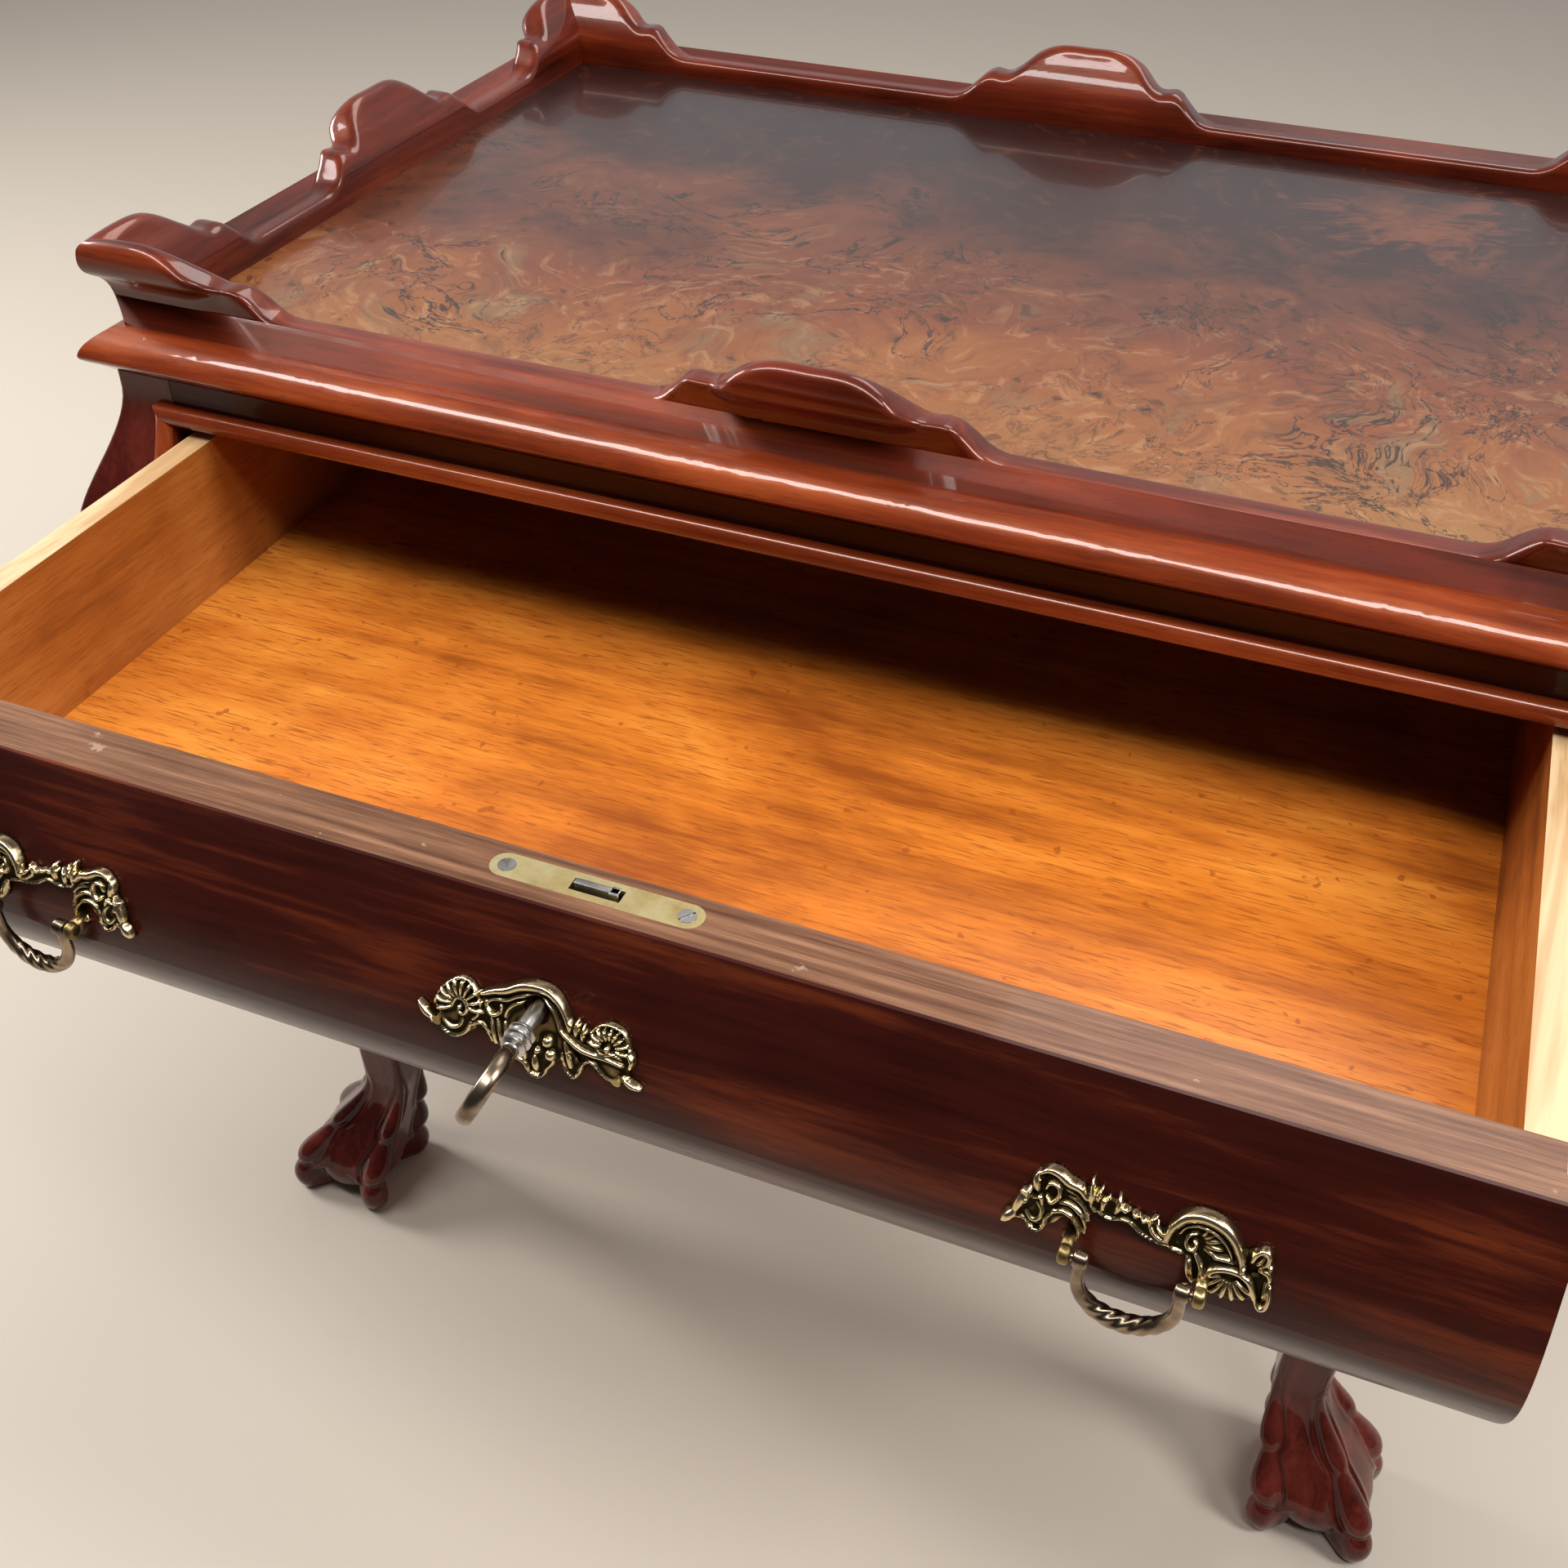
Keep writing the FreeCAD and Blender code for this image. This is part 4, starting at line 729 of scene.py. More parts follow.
handlePlate = {
    "centre": (202, 526), "span": (-43, -18, 44, 17),
    # Level ground under the strokes: its height, and places with their half widths
    "ground": [
        (0.9, [(-36, -4.5, 2.5), (-33, -2.5, 4.2), (-29, -2, 5.4), (-25, 1.5, 5.2), (-20, 3.5, 4.4),
               (-15, 4.5, 3.2)]),
        (0.8, [(-31, 5.5, 2.6), (-26, 6.5, 4.4), (-20, 6.2, 3.2), (-14, 6.5, 3)]),
        (0.9, [(-14, 5.8, 3), (-8, 5.6, 3), (-2, 5, 2.6), (3, 3.4, 2.8), (9, 1.6, 2.4)]),
        (0.6, [(12, 2.5, 4.2), (17, 4.5, 7), (23, 3.8, 7), (28, 1.5, 5.2)]),
        (0.7, [(19, -3.5, 3.6), (24, -6, 5.4), (30, -6.5, 5.6), (36, -4.5, 4.2)]),
        (0.9, [(34, 4.5, 2.8), (37, 5, 2.2), (38.5, 0, 2.2)])],
    # Height, half width and course of each raised stroke
    "beads": [
        (3.2, 2.2, [(-39.6, -8.2), (-38.2, -6.4), (-36.4, -4.2)]),
        (2.9, 2.1, [(-36.8, -4.4), (-35.8, -1.2), (-34.4, 2), (-33, 4.2)]),
        (3.4, 0.9, [(-36.2, 1.2), (-35.4, 3.2), (-33.5, 3.1), (-33.4, 1.2)]),
        (3.1, 1.8, [(-30.9, 4.8), (-31.9, 7.4), (-31.6, 10)]),
        (3.8, 2, [(-31, 9.9), (-28.8, 11.4), (-25.7, 11.3), (-22.3, 9.8), (-18.6, 8.8), (-16.2, 6.6)]),
        (2.4, 0.7, [(-28.8, 9.2), (-25.9, 9), (-22.9, 7.6), (-19.2, 6.4), (-16.8, 4.6)]),
        (3.7, 1, [(-28.5, 5.8), (-27.6, 7.8), (-25.3, 7.9), (-24.2, 6.2), (-24.7, 3.8), (-26.4, 2.2),
                    (-27.8, 3.4)]),
        (2.5, 0.9, [(-36, -6.6), (-33.9, -5.2), (-31.6, -7.9), (-28.7, -8.6), (-27, -6.4),
                    (-26.9, -3.4), (-25.4, -1.4)]),
        (2.2, 1, [(-33.2, -3), (-30.9, -5.2), (-28.9, -4.2), (-28.4, -1.4), (-30.4, 0.8)]),
        (2.5, 0.9, [(-32.4, 1.6), (-29.8, 2.6), (-28.6, 0.6)]),
        (3.1, 1.2, [(-25.2, -0.6), (-22.5, 0.6), (-20, 0.1), (-17.9, -1.7), (-16.5, -4.3), (-17, -7.1),
                    (-19.2, -8), (-20.8, -6.9), (-19.9, -5.4)]),
        (2.7, 1.1, [(-23.6, 2.8), (-20.5, 3.2), (-17.4, 1.6), (-15.4, -1.4), (-14.7, -5)]),
        (2.2, 0.8, [(-21.4, 5.4), (-18, 4.6), (-15.6, 2.4), (-14.2, -0.6)]),
        (3.4, 1.5, [(-14.8, 5.6), (-15, 9.2), (-15.6, 12.6)]),
        (2.9, 1.1, [(-17.4, 8), (-17.9, 10)]),
        (3.1, 1.1, [(-13, 6.6), (-12.9, 9.2), (-12.3, 11)]),
        (3, 1.2, [(-11.4, 4.4), (-11, 7.2), (-9.8, 9)]),
        (3.5, 1.5, [(-7.2, 5.2), (-6.5, 7.8), (-6.9, 10.2)]),
        (2.6, 0.9, [(-15.2, 4.9), (-13, 3.4), (-11, 2.6), (-9, 2.2), (-7.2, 2.6), (-4.1, 3.5),
                    (-1.5, 2.6), (1.2, 1), (5.6, -0.1), (9.9, -0.6), (13.6, -1)]),
        (3, 1.2, [(5, 7.2), (3.4, 6.4), (3, 4.6)]),
        (2.9, 0.9, [(2.4, 5.6), (3.8, 3.4), (5.9, 1.8), (9.4, 1)]),
        (2.8, 0.9, [(5.4, 5.8), (5.9, 4.2), (7.4, 3), (9.6, 2.8)]),
        (4.6, 2.4, [(8.8, 2.6), (9, 4.4), (10, 7), (13, 10.4), (17.8, 11.8), (23.2, 10.9),
                    (27.2, 8.3), (29.8, 4.6), (31.2, 1.4)]),
        (3, 0.8, [(12, 4.8), (13.4, 7.2), (16.6, 8.7), (21, 8.4), (25, 6.3), (27.4, 3.4), (28.6, 0.6)]),
        (3.4, 0.9, [(16.9, 6.4), (15.1, 5.8), (14.2, 3.7), (15.3, 1.7), (17, 1.6), (17.4, 3.2), (16.3, 3.9)]),
        (3.4, 1.4, [(20.4, -7.6), (21.6, -5.6), (23.3, -3), (26.8, -1.2), (30.8, -1.1), (34.2, -3),
                    (36.1, -6.4), (37.2, -9.4)]),
        (2.6, 1, [(23, 0.6), (26.4, 1.4), (30, 1)]),
        (3.1, 1.5, [(33.4, 3.2), (34.6, 6.2), (36.4, 7.4), (37.9, 6.4), (37.8, 4.2), (36, 2.2)]),
        (3.6, 0.7, [(34.8, 2.6), (36, 4.6), (36.6, 6.4)]),
        (3, 1.3, [(35.8, 1), (38.4, 1.4), (39.6, -0.4), (38.8, -2.6)]),
        (2.8, 1.5, [(36.6, -6.2), (37.4, -9), (38.8, -10.6), (40.2, -9.8), (40.6, -6.6), (40.2, -3.4)]),
        (3.2, 0.8, [(38.6, -3.4), (39, -6), (39, -9)]),
        (2.7, 1.7, [(16, -2.2), (17, -6), (18.6, -9)]),
        (2.7, 1.1, [(17.6, 0.2), (20, -3.4), (21, -8), (23.4, -11)])],
    # Height, half width, centre, near and far radius, from and to angle, and number of a shell's ribs
    "fans": [(2.6, 0.9, (28.4, -3), 2.6, 8.6, -160, -30, 7), (1.8, 0.9, (17, 3.4), 3, 8, -20, 60, 5)],
    "balls": [(3.3, 1.5, (-4.6, 6.9)), (3.3, 1.4, (-1.4, 6.3)), (3.2, 1.3, (1.2, 5.5)),
              (4.4, 1.5, (31.7, 0.6)),
              (3.6, 1.3, (-33.9, 0.6)), (3.4, 1.2, (39.2, 3.2))],
}

keyholePlate = {
    "centre": (-4, 529), "span": (-42.5, -18.5, 47, 20), "hole": (4, 8, 4.2),
    "ground": [
        (0.8, [(-30, 1, 4.4), (-24, 3.2, 7.8), (-18, 1, 4.6)]),
        (0.8, [(-29, -5, 3), (-24, -5.4, 3.7), (-20, -3, 3)]),
        (0.9, [(-16, 3, 3.6), (-9, 1, 6.2), (0, 0, 9.5), (8, -1, 8.5), (14, 1, 5.4)]),
        (0.9, [(-13, 7, 3), (-5, 8.6, 3.8), (3, 10.6, 5), (9, 9.6, 5), (14, 5, 4.4)]),
        (0.7, [(-9, -5, 3.2), (-1, -7, 4.2), (5, -9, 4.8), (10, -7, 3.4)]),
        (0.8, [(15, 3, 5.6), (22, 2, 4.2), (30, 2, 7.2), (36.5, 1, 4.8)]),
        (0.8, [(17.6, -5, 3), (19.4, -7.8, 2.8)]),
        (0.8, [(28, -1, 3.2), (33, -4.5, 3.4), (37, -4.2, 2.4)])],
    "beads": [
        (3.1, 1.8, [(-39.2, -0.6), (-38, -1.6), (-36.1, -3.3), (-33.2, -5)]),
        (2.5, 1, [(-33.6, 0.2), (-33, 3), (-31.4, 6), (-28.4, 9), (-24.7, 10.8), (-21.3, 10.4),
                    (-18.4, 8), (-16.2, 4.6), (-16.8, 0.8), (-18.8, -1.4)]),
        (2.7, 0.9, [(-26.6, 1.8), (-25, 4.4), (-22, 4.2), (-20.8, 1.6), (-22.4, -0.6), (-24.4, -0.2)]),
        (2.5, 1, [(-32.4, -5.4), (-29.4, -8.2), (-24.6, -8.8), (-20.9, -6.2), (-19.6, -2.8)]),
        (2.3, 0.8, [(-29.8, -4.4), (-26.6, -6), (-23.4, -4.8), (-22.6, -2.2)]),
        (4.5, 2.1, [(-15.9, 8.4), (-11.9, 10.2), (-6.9, 11.8), (-2.1, 14.2), (2.9, 15.4), (8.1, 15.2),
                    (12.2, 12.9), (15, 9.6), (16.5, 6.8)]),
        (3.4, 1.1, [(-14.4, 5.2), (-11.5, 7.6), (-6.3, 8.8), (-2.8, 10.8), (2.1, 12.3), (6.8, 11.8),
                    (10.6, 9.4), (12.4, 6.4)]),
        (3, 0.9, [(-6.8, 3), (-5.6, 6), (-3, 8.4), (0, 9.6)]),
        (3.1, 0.9, [(-14.4, 6.6), (-13.2, 3.9), (-10.9, 2.6), (-8.5, 4.2), (-8.9, 6.2)]),
        (2.4, 0.9, [(-18.8, -3.2), (-15.8, -1.6), (-13.1, -3.4), (-11.4, -7.4)]),
        (2.9, 0.9, [(-11.8, 1.2), (-10.2, -2.8), (-9.4, -6.8)]),
        (2.9, 0.9, [(-9.6, 1.4), (-7.8, -2.8), (-6.8, -7.2)]),
        (2.8, 0.9, [(-6.8, 1), (-5.4, -3.2), (-4.2, -8)]),
        (2.6, 1.1, [(-1.4, 3), (-2.4, -2.4), (-1.8, -7.6)]),
        (2.6, 1.2, [(1.6, 1.6), (1.2, -3.4), (1.6, -9)]),
        (2.5, 1, [(-4.6, -8.8), (-1.4, -9.6), (2, -10.8), (3.4, -13.8), (6.4, -14.6), (8.4, -13.4),
                    (10.4, -9.8), (12.2, -6.8)]),
        (3, 1.5, [(5.2, -7), (6.2, -11.6)]),
        (3.3, 1.3, [(12.4, 6.6), (14.1, 4), (17.6, 2.1), (21.7, 0.4), (26.3, -0.1), (31.5, -0.3),
                    (36.4, -1.2)]),
        (3.2, 1.3, [(16.7, 8.4), (17, 4.6)]), (3.3, 1.4, [(19.2, 9), (19.4, 4)]),
        (3.1, 1.1, [(21.6, 8), (21.8, 3)]),
        (2.7, 1.1, [(25, 4.2), (25, 7), (26.8, 9), (30.3, 10.3), (34.8, 9.6), (37.8, 6.4), (38.8, 2.9)]),
        (2.9, 1.3, [(38, 3.2), (40, 1), (39.2, -1.4)]),
        (2.5, 0.95, [(15, -3.4), (15.4, -6.6), (16.8, -9.4), (19.6, -10.8), (21.6, -8.4), (22.9, -4.6),
                     (26, -3.2), (28.8, -5.6), (32.3, -7.8), (36.4, -7.6)]),
        (2.6, 1.1, [(15.6, 0.8), (17.2, -2.8), (18.4, -7.2)]),
        (2.8, 0.9, [(26, 2.6), (29, 0.9), (33, 1.6), (36, 0.8)]),
        (3.1, 1.7, [(37.6, -5.2), (40.6, -6.4), (43.8, -7.2)])],
    "fans": [(3.5, 0.95, (-23.8, 2.2), 3.4, 8.8, 0, 200, 10), (3.3, 0.85, (31, 2.8), 2.8, 7.4, 0, 175, 9)],
    "balls": [(3.7, 1.4, (-33, -5)), (3.7, 2.2, (11, -4.8)), (3.8, 2.3, (9.6, -0.6)),
              (3.2, 1.4, (6.2, -4.6)), (3.6, 1.4, (30.9, 3)), (3.3, 1.1, (-23.6, 1.8))],
}

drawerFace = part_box("drawer_front")[0].y / mm
drawerOut = -drawerFace - halfY - max(out for _, out in legs["case"])


def onFace(x, height, lift):
    # A place that stands off the open drawer's bent face
    reach = stepDown(legs["case"], height)
    slope = (stepDown(legs["case"], height + 1) - stepDown(legs["case"], height - 1)) / 2
    away = Vector((0, -1, -slope)).normalized() * lift
    return (Vector((x, -halfY - reach - drawerOut, height)) + away) * mm


def course(points, spacing):
    # Close places along a smooth curve through the points, whatever each point holds
    lengths = [0]
    for near, far in zip(points, points[1:]):
        lengths.append(lengths[-1] + math.dist(near[:2], far[:2]))
    steps = max(round(lengths[-1] / spacing), 1)
    tracks = [list(zip(lengths, track)) for track in zip(*points)]
    return [
        (*(through(track, lengths[-1] * step / steps) for track in tracks), step / steps)
        for step in range(steps + 1)]


def reliefOf(design):
    # The raised height and how far inside the outline each place of a grid lies
    s = mounts
    low, bottom, high, top = design["span"]
    a = numpy.arange(low, high, s["grid"])[:, None]
    b = numpy.arange(bottom, top, s["grid"])[None, :]
    height = numpy.zeros((a.shape[0], b.shape[1]))
    inside = numpy.full(height.shape, s["outside"], float)

    def stamp(x, y, half, tall, hardness):
        away = numpy.hypot(a - x, b - y)
        numpy.maximum(inside, half - away, out=inside)
        crown = numpy.maximum(1 - (away / half) ** hardness, 0) ** 0.5 * tall
        numpy.maximum(height, crown, out=height)

    for tall, places in design["ground"]:
        for x, y, half, _ in course(places, s["groundSpacing"]):
            stamp(x, y, half, tall, s["groundEdge"])
    beads = list(design["beads"])
    for tall, half, (x, y), near, far, start, end, count in design["fans"]:
        for k in range(count):
            angle = math.radians(start + (end - start) * k / (count - 1))
            beads.append((tall, half, [
                (x + radius * math.cos(angle), y + radius * math.sin(angle)) for radius in (near, far)]))
    for tall, half, points in beads:
        for x, y, share in course(points, s["spacing"]):
            full = math.sin(math.pi * share)
            width = half * (s["endWidth"] + (1 - s["endWidth"]) * full)
            stamp(x, y, width, tall * (s["endHeight"] + (1 - s["endHeight"]) * full), s["roundEdge"])
    for tall, half, (x, y) in design["balls"]:
        stamp(x, y, half, tall, s["roundEdge"])
    if "hole" in design:
        x, y, half = design["hole"]
        inside = numpy.minimum(inside, numpy.hypot(a - x, b - y) - half)
    return a[:, 0], b[0], height, inside


def blurred(table, span):
    for axis in (0, 1):
        table = sum(numpy.roll(table, k, axis) for k in range(-span, span + 1)) / (2 * span + 1)
    return table


def castMount(design, side):
    # side -1 mirrors the design about the table's middle
    s = mounts
    a, b, height, inside = reliefOf(design)
    fine = blurred(height, 1) * s["soft"] + height * (1 - s["soft"])
    worn = numpy.clip((fine - blurred(height, s["blurSpan"])) / s["contrast"] + 0.5, 0, 1)
    slopeA, slopeB = numpy.gradient(inside, s["grid"])
    steep = numpy.maximum(slopeA ** 2 + slopeB ** 2, s["slopeLeast"])
    centreX, centreZ = design["centre"]
    bm = bmesh.new()
    bmesh.ops.create_grid(bm, x_segments=len(a) - 1, y_segments=len(b) - 1, size=0.5)
    layer = bm.verts.layers.float.new("relief")
    doomed = []
    for vertex in bm.verts:
        i = round((vertex.co.x + 0.5) * (len(a) - 1))
        j = round((vertex.co.y + 0.5) * (len(b) - 1))
        depth = inside[i, j]
        if depth < -s["cut"] * s["grid"]:
            doomed.append(vertex)
            continue
        x, z, tall = a[i], b[j], fine[i, j]
        if depth < s["snap"] * s["grid"]:
            shift = depth / steep[i, j]
            x, z, tall = x - slopeA[i, j] * shift, z - slopeB[i, j] * shift, 0
        vertex.co = (x, z, tall * between(0, s["edgeRun"], depth))
        vertex[layer] = worn[i, j]
    bmesh.ops.delete(bm, geom=doomed, context="VERTS")
    loose = [vertex for vertex in bm.verts if not vertex.link_faces]
    bmesh.ops.delete(bm, geom=loose, context="VERTS")
    rim = [vertex for vertex in bm.verts if vertex.is_boundary]
    for _ in range(s["rimPasses"]):
        bmesh.ops.smooth_vert(bm, verts=rim, factor=s["rimPull"], use_axis_x=True, use_axis_y=True)
    made = bmesh.ops.extrude_face_region(bm, geom=bm.faces[:], use_keep_orig=True)
    front = {item for item in made["geom"] if isinstance(item, bmesh.types.BMVert)}
    for vertex in bm.verts:
        x, z, tall = vertex.co
        lift = s["sheet"] + tall if vertex in front else -s["sunk"]
        vertex.co = onFace(side * (centreX + x), centreZ + z, lift)
    faceOutwards(bm)
    return bm


# Lugs, drop handles and the key, in mm

hardware = {
    "pivot": (203.5, 519), "pivotOff": 7.1, "facets": 24, "rimSteps": 4,
    "lugStart": 18.2, "lugLength": 4, "lugRadius": 3.3, "lugRounding": 1.5, "lugWear": 0.5,
    "neckWide": 3.2, "neckTall": 4.95,
    # The drop handle's wire: share of its length, and radius
    "bailHalf": 15.2, "armLength": 8.6, "armTop": 1.5,
    "wire": [(0, 2), (0.18, 2.2), (0.5, 3.3), (0.82, 2.2), (1, 2)], "around": 32, "along": 150,
    "ropeCount": 5, "ropeDepth": 0.16, "ropeTurns": 2.6, "ropeSpan": (0.22, 0.42),
    "pinRadius": 1.45, "eyeRadius": 3, "eyeLength": 2.4, "eyeRounding": 1.1,
}


def turnAbout(bm, verts, axis, degrees):
    bmesh.ops.rotate(bm, verts=verts, cent=(0, 0, 0), matrix=Matrix.Rotation(math.radians(degrees), 3, axis))


def addBlock(bm, size, middle):
    made = bmesh.ops.create_cube(bm, size=1)["verts"]
    bmesh.ops.scale(bm, verts=made, vec=size)
    bmesh.ops.translate(bm, verts=made, vec=middle)


def addCone(bm, lowRadius, highRadius, low, high, facets):
    # A closed cone or bar on end, from low to high
    made = bmesh.ops.create_cone(
        bm, cap_ends=True, segments=facets, radius1=lowRadius, radius2=highRadius, depth=high - low)["verts"]
    bmesh.ops.translate(bm, verts=made, vec=(0, 0, (low + high) / 2))
    return made


def addRod(bm, radius, start, end, rounding=0):
    # A closed round bar along X, from start to end, with its rims rounded
    h = hardware
    half = (end - start).length / 2
    made = addCone(bm, radius * mm, radius * mm, -half, half, h["facets"])
    turnAbout(bm, made, "Y", 90)
    bmesh.ops.translate(bm, verts=made, vec=(start + end) / 2)
    if rounding:
        caps = dict.fromkeys(
            face for vertex in made for face in vertex.link_faces if len(face.verts) == h["facets"])
        bmesh.ops.bevel(
            bm, geom=[edge for face in caps for edge in face.edges], offset=rounding * mm,
            segments=h["rimSteps"], profile=0.5, affect="EDGES", material=-1)


def pivotPlace(side, offset, out=0, drop=0):
    h = hardware
    x, z = h["pivot"]
    return Vector((side * (x + offset), drawerFace - h["pivotOff"] - out, z - drop)) * mm


def addLugs(bm, side):
    # A round eye on each side of the drop handle, on a neck from the plate
    h = hardware
    layer = bm.verts.layers.float["relief"]
    for end in (-1, 1):
        near = pivotPlace(side, end * h["lugStart"])
        far = pivotPlace(side, end * (h["lugStart"] + h["lugLength"]))
        before = set(bm.verts)
        addRod(bm, h["lugRadius"], near, far, h["lugRounding"])
        middle = (near + far) / 2
        root = onFace(side * (h["pivot"][0] + end * (h["lugStart"] + h["lugLength"] / 2)), h["pivot"][1], 0)
        size = (h["neckWide"] * mm, abs(middle.y - root.y), h["neckTall"] * mm)
        addBlock(bm, size, (middle.x, (middle.y + root.y) / 2, middle.z))
        for vertex in set(bm.verts) - before:
            vertex[layer] = h["lugWear"]


def bailPiece(name, side):
    h = hardware
    half, arm = h["bailHalf"], h["armLength"] + h["armTop"]
    total = 2 * arm + math.pi * half

    def place(share, length):
        s = length * total
        if s < arm:
            middle, across = (-half, s - h["armTop"]), (1, 0)
        elif s > total - arm:
            middle, across = (half, total - s - h["armTop"]), (-1, 0)
        else:
            turn = (s - arm) / half
            across = (math.cos(turn), -math.sin(turn))
            middle = (-half * across[0], arm - h["armTop"] - half * across[1])
        angle = share * 2 * math.pi
        rope = between(*h["ropeSpan"], length) * between(*h["ropeSpan"], 1 - length) * h["ropeDepth"]
        strand = math.cos(h["ropeCount"] * (angle + h["ropeTurns"] * 2 * math.pi * length))
        thick = through(h["wire"], length) * (1 - rope * 0.5 * (1 + strand))
        inward = thick * math.cos(angle)
        return pivotPlace(
            side, middle[0] + across[0] * inward, thick * math.sin(angle), middle[1] + across[1] * inward)

    bm = bend(h["around"], h["along"], place)
    for end in (-1, 1):
        for radius, start, stop, rounding in (
                (h["pinRadius"], half, h["lugStart"] + h["lugLength"], 0),
                (h["eyeRadius"], half - h["eyeLength"], half + h["eyeLength"], h["eyeRounding"])):
            addRod(bm, radius, pivotPlace(side, end * start), pivotPlace(side, end * stop), rounding)
    addPiece(name + "_cast", bm, name, "bronze", name, sharp=60)


pipeKey = {
    "place": (0, 537), "turn": 27, "face": 477.5,
    # The turned barrel: how far out from the drawer's front, and radius
    "barrel": [
        (-30, 0), (-30, 2.9), (4, 3.2), (7.2, 3.2), (7.6, 4.3), (8.2, 4.8), (8.8, 4.8), (9.3, 4.3),
        (9.6, 3.5), (10.2, 3.5), (10.5, 4.3), (11.1, 4.9), (11.8, 4.9), (12.3, 4.3), (12.6, 3.5), (13.3, 3.5),
        (13.6, 4.1), (14.2, 4.6), (14.9, 4.6), (15.4, 4), (16, 3), (18.4, 2.5), (21, 2.8),
        (22, 0)],
    "barrelSteps": 36, "bowCentre": 31.9, "bowRadius": 12.6, "bowWide": 2.9, "bowThick": 2.1, "bowTall": 0.94,
    "bowAround": 20, "bowAlong": 72, "bit": (1.6, 5, 9), "bitDeep": 26, "brownFrom": 18,
    "merge": 0.01,
}


def keyPiece():
    # The bow, a turned barrel and the bit, bronze at the bow's end and steel in the lock
    k = pipeKey

    def place(share, length):
        around, turn = share * 2 * math.pi, length * 2 * math.pi
        ring = k["bowRadius"] + k["bowThick"] * math.cos(around)
        out = k["face"] + k["bowCentre"] - ring * math.cos(turn)
        return Vector((k["bowWide"] * math.sin(around), -out, ring * k["bowTall"] * math.sin(turn))) * mm

    bm = bend(k["bowAround"], k["bowAlong"], place)
    bow = set(bm.verts)
    path = [bm.verts.new((radius * mm, -(k["face"] + out) * mm, 0)) for out, radius in k["barrel"]]
    edges = [bm.edges.new(pair) for pair in zip(path, path[1:])]
    bmesh.ops.spin(
        bm, geom=path + edges, cent=(0, 0, 0), axis=(0, 1, 0), angle=2 * math.pi, steps=k["barrelSteps"],
        use_merge=True)
    turned = [vertex for vertex in bm.verts if vertex not in bow]
    bmesh.ops.remove_doubles(bm, verts=turned, dist=k["merge"] * mm)
    addBlock(
        bm, Vector(k["bit"]) * mm, Vector((0, k["bitDeep"] - k["face"], -k["bit"][2] / 2)) * mm)
    turnAbout(bm, bm.verts, "Y", k["turn"])
    bmesh.ops.translate(bm, verts=bm.verts, vec=(k["place"][0] * mm, 0, k["place"][1] * mm))
    faceOutwards(bm)
    piece = addPiece("key_turned", bm, "key", "steel", "key", sharp=40)
    piece.data.materials.append(finishFor("bronze"))
    for polygon in piece.data.polygons:
        if polygon.center.y < -(k["face"] + k["brownFrom"]) * mm:
            polygon.material_index = 1


hookBolt = {"wide": 16.4, "thick": 2.7, "hookWide": 3.4, "hookThick": 3.9, "bevel": 0.35, "back": 0.5}


def boltPiece():
    # A thin bar with a thicker nose at its right end
    h = hookBolt
    low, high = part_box("lock_bolt")
    bm = bmesh.new()
    for wide, thick, x in (
            (h["wide"], h["thick"], 0), (h["hookWide"], h["hookThick"], (h["wide"] - h["hookWide"]) / 2)):
        addBlock(
            bm, (wide * mm, thick * mm, high.z - low.z), (low + high) / 2 + Vector((x, h["back"], 0)) * mm)
    bmesh.ops.bevel(
        bm, geom=bm.edges[:], offset=h["bevel"] * mm, segments=2, profile=0.5, affect="EDGES", material=-1)
    addPiece("lock_bolt_hooked", bm, "lock_bolt", "steel", "lock_bolt", sharp=30)


lockScrews = {
    "headDeep": 1.6, "proud": 0.12, "turns": (24, -38), "headFacets": 32, "shankFacets": 20,
    "slotHalf": 0.42, "slotDeep": 0.9, "floorShare": 0.9, "floorThick": 0.2,
    # Shares of the head's radius
    "neckShare": 0.5, "tipShare": 0.4,
}


def slottedScrews():
    # Each head is two halves on either side of its slot, with a floor, standing on the shank
    h = lockScrews
    low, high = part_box("lock_screws")
    radius = (high.y - low.y) / 2
    neck, disc = radius * h["neckShare"], radius * h["floorShare"]
    top, slot, thick = high.z + h["proud"] * mm, high.z - h["slotDeep"] * mm, h["floorThick"] / 2 * mm
    bm = bmesh.new()
    for x, turn in zip((low.x + radius, high.x - radius), h["turns"]):
        before = set(bm.verts)
        for half in (-1, 1):
            made = addCone(bm, neck, radius, top - h["headDeep"] * mm, top, h["headFacets"])
            geometry = dict.fromkeys(
                item for vertex in made for item in (vertex, *vertex.link_edges, *vertex.link_faces))
            bmesh.ops.bisect_plane(
                bm, geom=list(geometry), plane_co=(half * h["slotHalf"] * mm, 0, 0), plane_no=(half, 0, 0),
                clear_inner=True)
            bmesh.ops.holes_fill(bm, edges=[edge for edge in bm.edges if edge.is_boundary])
        addCone(bm, radius * h["tipShare"], neck, low.z, slot, h["shankFacets"])
        addCone(bm, disc, disc, slot - thick, slot + thick, h["headFacets"])
        screw = [vertex for vertex in bm.verts if vertex not in before]
        turnAbout(bm, screw, "Z", turn)
        bmesh.ops.translate(bm, verts=screw, vec=(x, (low.y + high.y) / 2, 0))
    faceOutwards(bm)
    addPiece("lock_screws_slotted", bm, "drawer", "steel", "lock_screws", sharp=30)


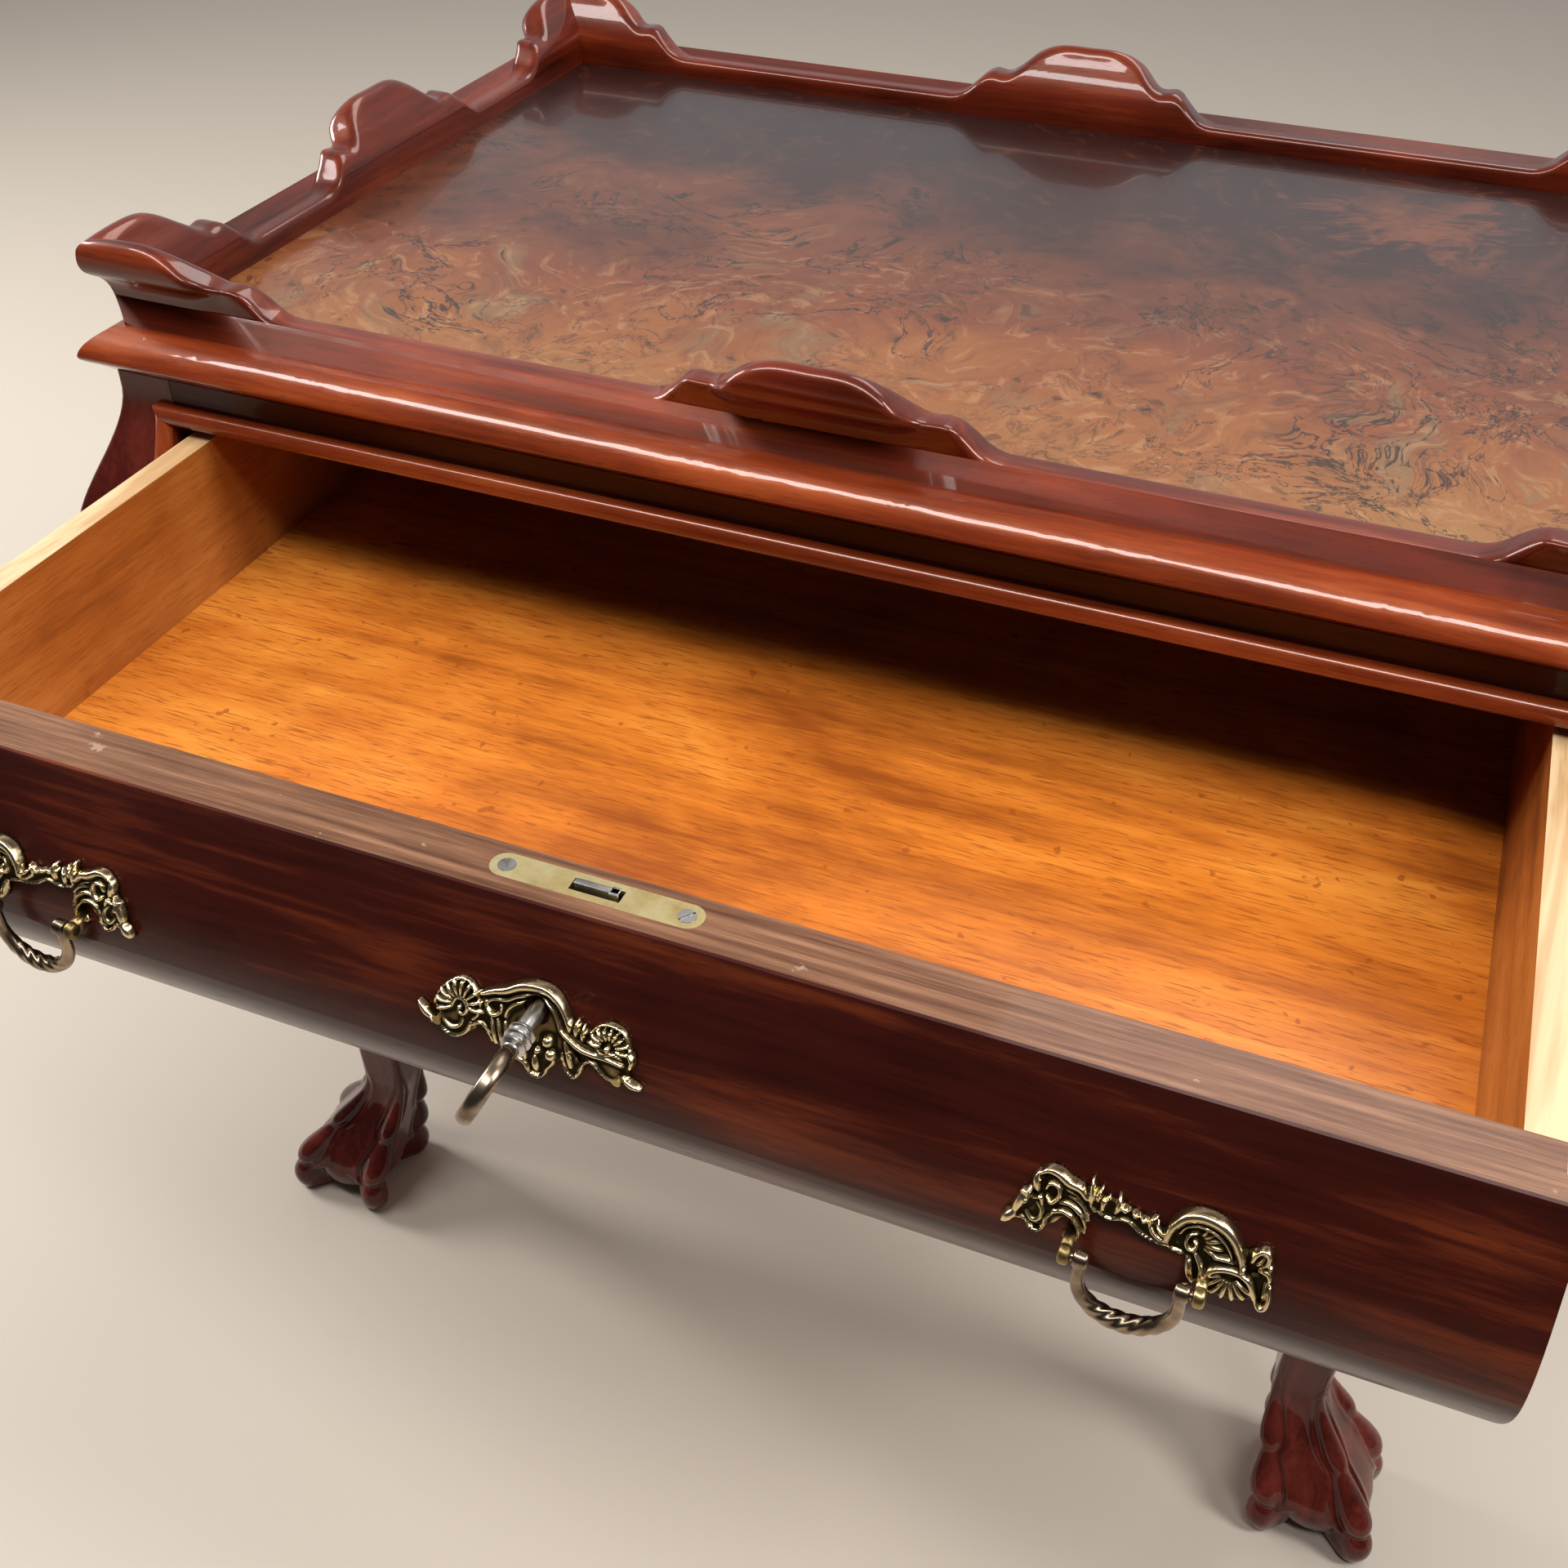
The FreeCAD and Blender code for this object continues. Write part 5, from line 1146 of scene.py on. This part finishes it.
for name, side in (("handle_plate_right", 1), ("handle_plate_left", -1)):
    plate = castMount(handlePlate, side)
    addLugs(plate, side)
    addPiece(name + "_cast", plate, "drawer", "antique_brass", name, sharp=180, finish="castBrass")
plate = castMount(keyholePlate, 1)
addPiece("escutcheon_cast", plate, "drawer", "antique_brass", "escutcheon", sharp=180, finish="castBrass")
bailPiece("bail_right", 1)
bailPiece("bail_left", -1)
keyPiece()
slottedScrews()
boltPiece()
print("mounts cast")


# Floor, light and camera

studio = {
    "floorHalf": 12, "floorColour": (0.52, 0.45, 0.37), "floorRoughness": 0.6,
    # The room is bright behind the table and dim in front of it
    "bright": (0.64, 0.64, 0.65), "dim": (0.07, 0.07, 0.075), "brightFrom": 0.42, "brightTo": 0.70,
    "overhead": (0.30, 0.30, 0.31), "overheadFrom": 0.78, "overheadTo": 0.95, "strength": 0.8,
    "lamps": {
        "frontStrip": {"place": (-0.2, -1, 2.6), "aim": (0, -0.2, 0.55), "size": (3.4, 0.30), "power": 60},
        "backSoftbox": {"place": (0.5, 1.7, 3), "aim": (0, 0, 0.5), "size": (1.6, 1), "power": 28},
        "leftWindow": {"place": (-2.5, 0, 1.6), "aim": (0, -0.1, 0.4), "size": (0.6, 1.5), "power": 56},
        "rightWindow": {"place": (1.9, -0.3, 2.3), "aim": (0.1, -0.1, 0.4), "size": (0.5, 1.3), "power": 44},
    },
}

camera = {
    "place": (0.2139, -0.8026, 0.9477), "yaw": -0.372, "pitch": 0.686, "roll": 0.010,
    "lens": 38.79, "sensor": 36,
}


def makeFloor():
    bm = bmesh.new()
    bmesh.ops.create_grid(bm, x_segments=2, y_segments=2, size=studio["floorHalf"])
    paint = Finish("floorPaint", roughness=studio["floorRoughness"])
    paint.set("Base Color", studio["floorColour"])
    addObject("floor", meshFrom("floor", bm, paint.material))


def makeLight():
    s = studio
    scene.world = bpy.data.worlds.new("studio")
    sky = Tree(scene.world)
    point = sky.add("ShaderNodeTexCoord", output="Generated")
    ahead = sky.along(point, "Y") * 0.5 + 0.5
    around = sky.ramp(ahead, [(s["brightFrom"], s["dim"]), (s["brightTo"], s["bright"])])
    above = (sky.along(point, "Z") - s["overheadFrom"]) / (s["overheadTo"] - s["overheadFrom"])
    background = sky.nodes["Background"]
    sky.link(background.inputs["Color"], sky.mix(above, around, s["overhead"]))
    sky.link(background.inputs["Strength"], s["strength"])
    for name, lamp in s["lamps"].items():
        light = bpy.data.lights.new(name, "AREA")
        light.shape = "RECTANGLE"
        light.size, light.size_y = lamp["size"]
        light.energy = lamp["power"]
        holder = addObject(name, light)
        holder.location = lamp["place"]
        aim = Vector(lamp["aim"]) - holder.location
        holder.rotation_euler = aim.to_track_quat("-Z", "Y").to_euler()


def makeCamera():
    c = camera
    data = bpy.data.cameras.new("camera")
    data.lens, data.sensor_width = c["lens"], c["sensor"]
    turns = ((-c["yaw"], "Z"), (math.pi / 2 - c["pitch"], "X"), (c["roll"], "Z"))
    scene.camera = addObject("camera", data)
    scene.camera.matrix_world = Matrix.Translation(c["place"])
    for angle, axis in turns:
        scene.camera.matrix_world = scene.camera.matrix_world @ Matrix.Rotation(angle, 4, axis)


makeFloor()
makeLight()
makeCamera()
print("studio ready")
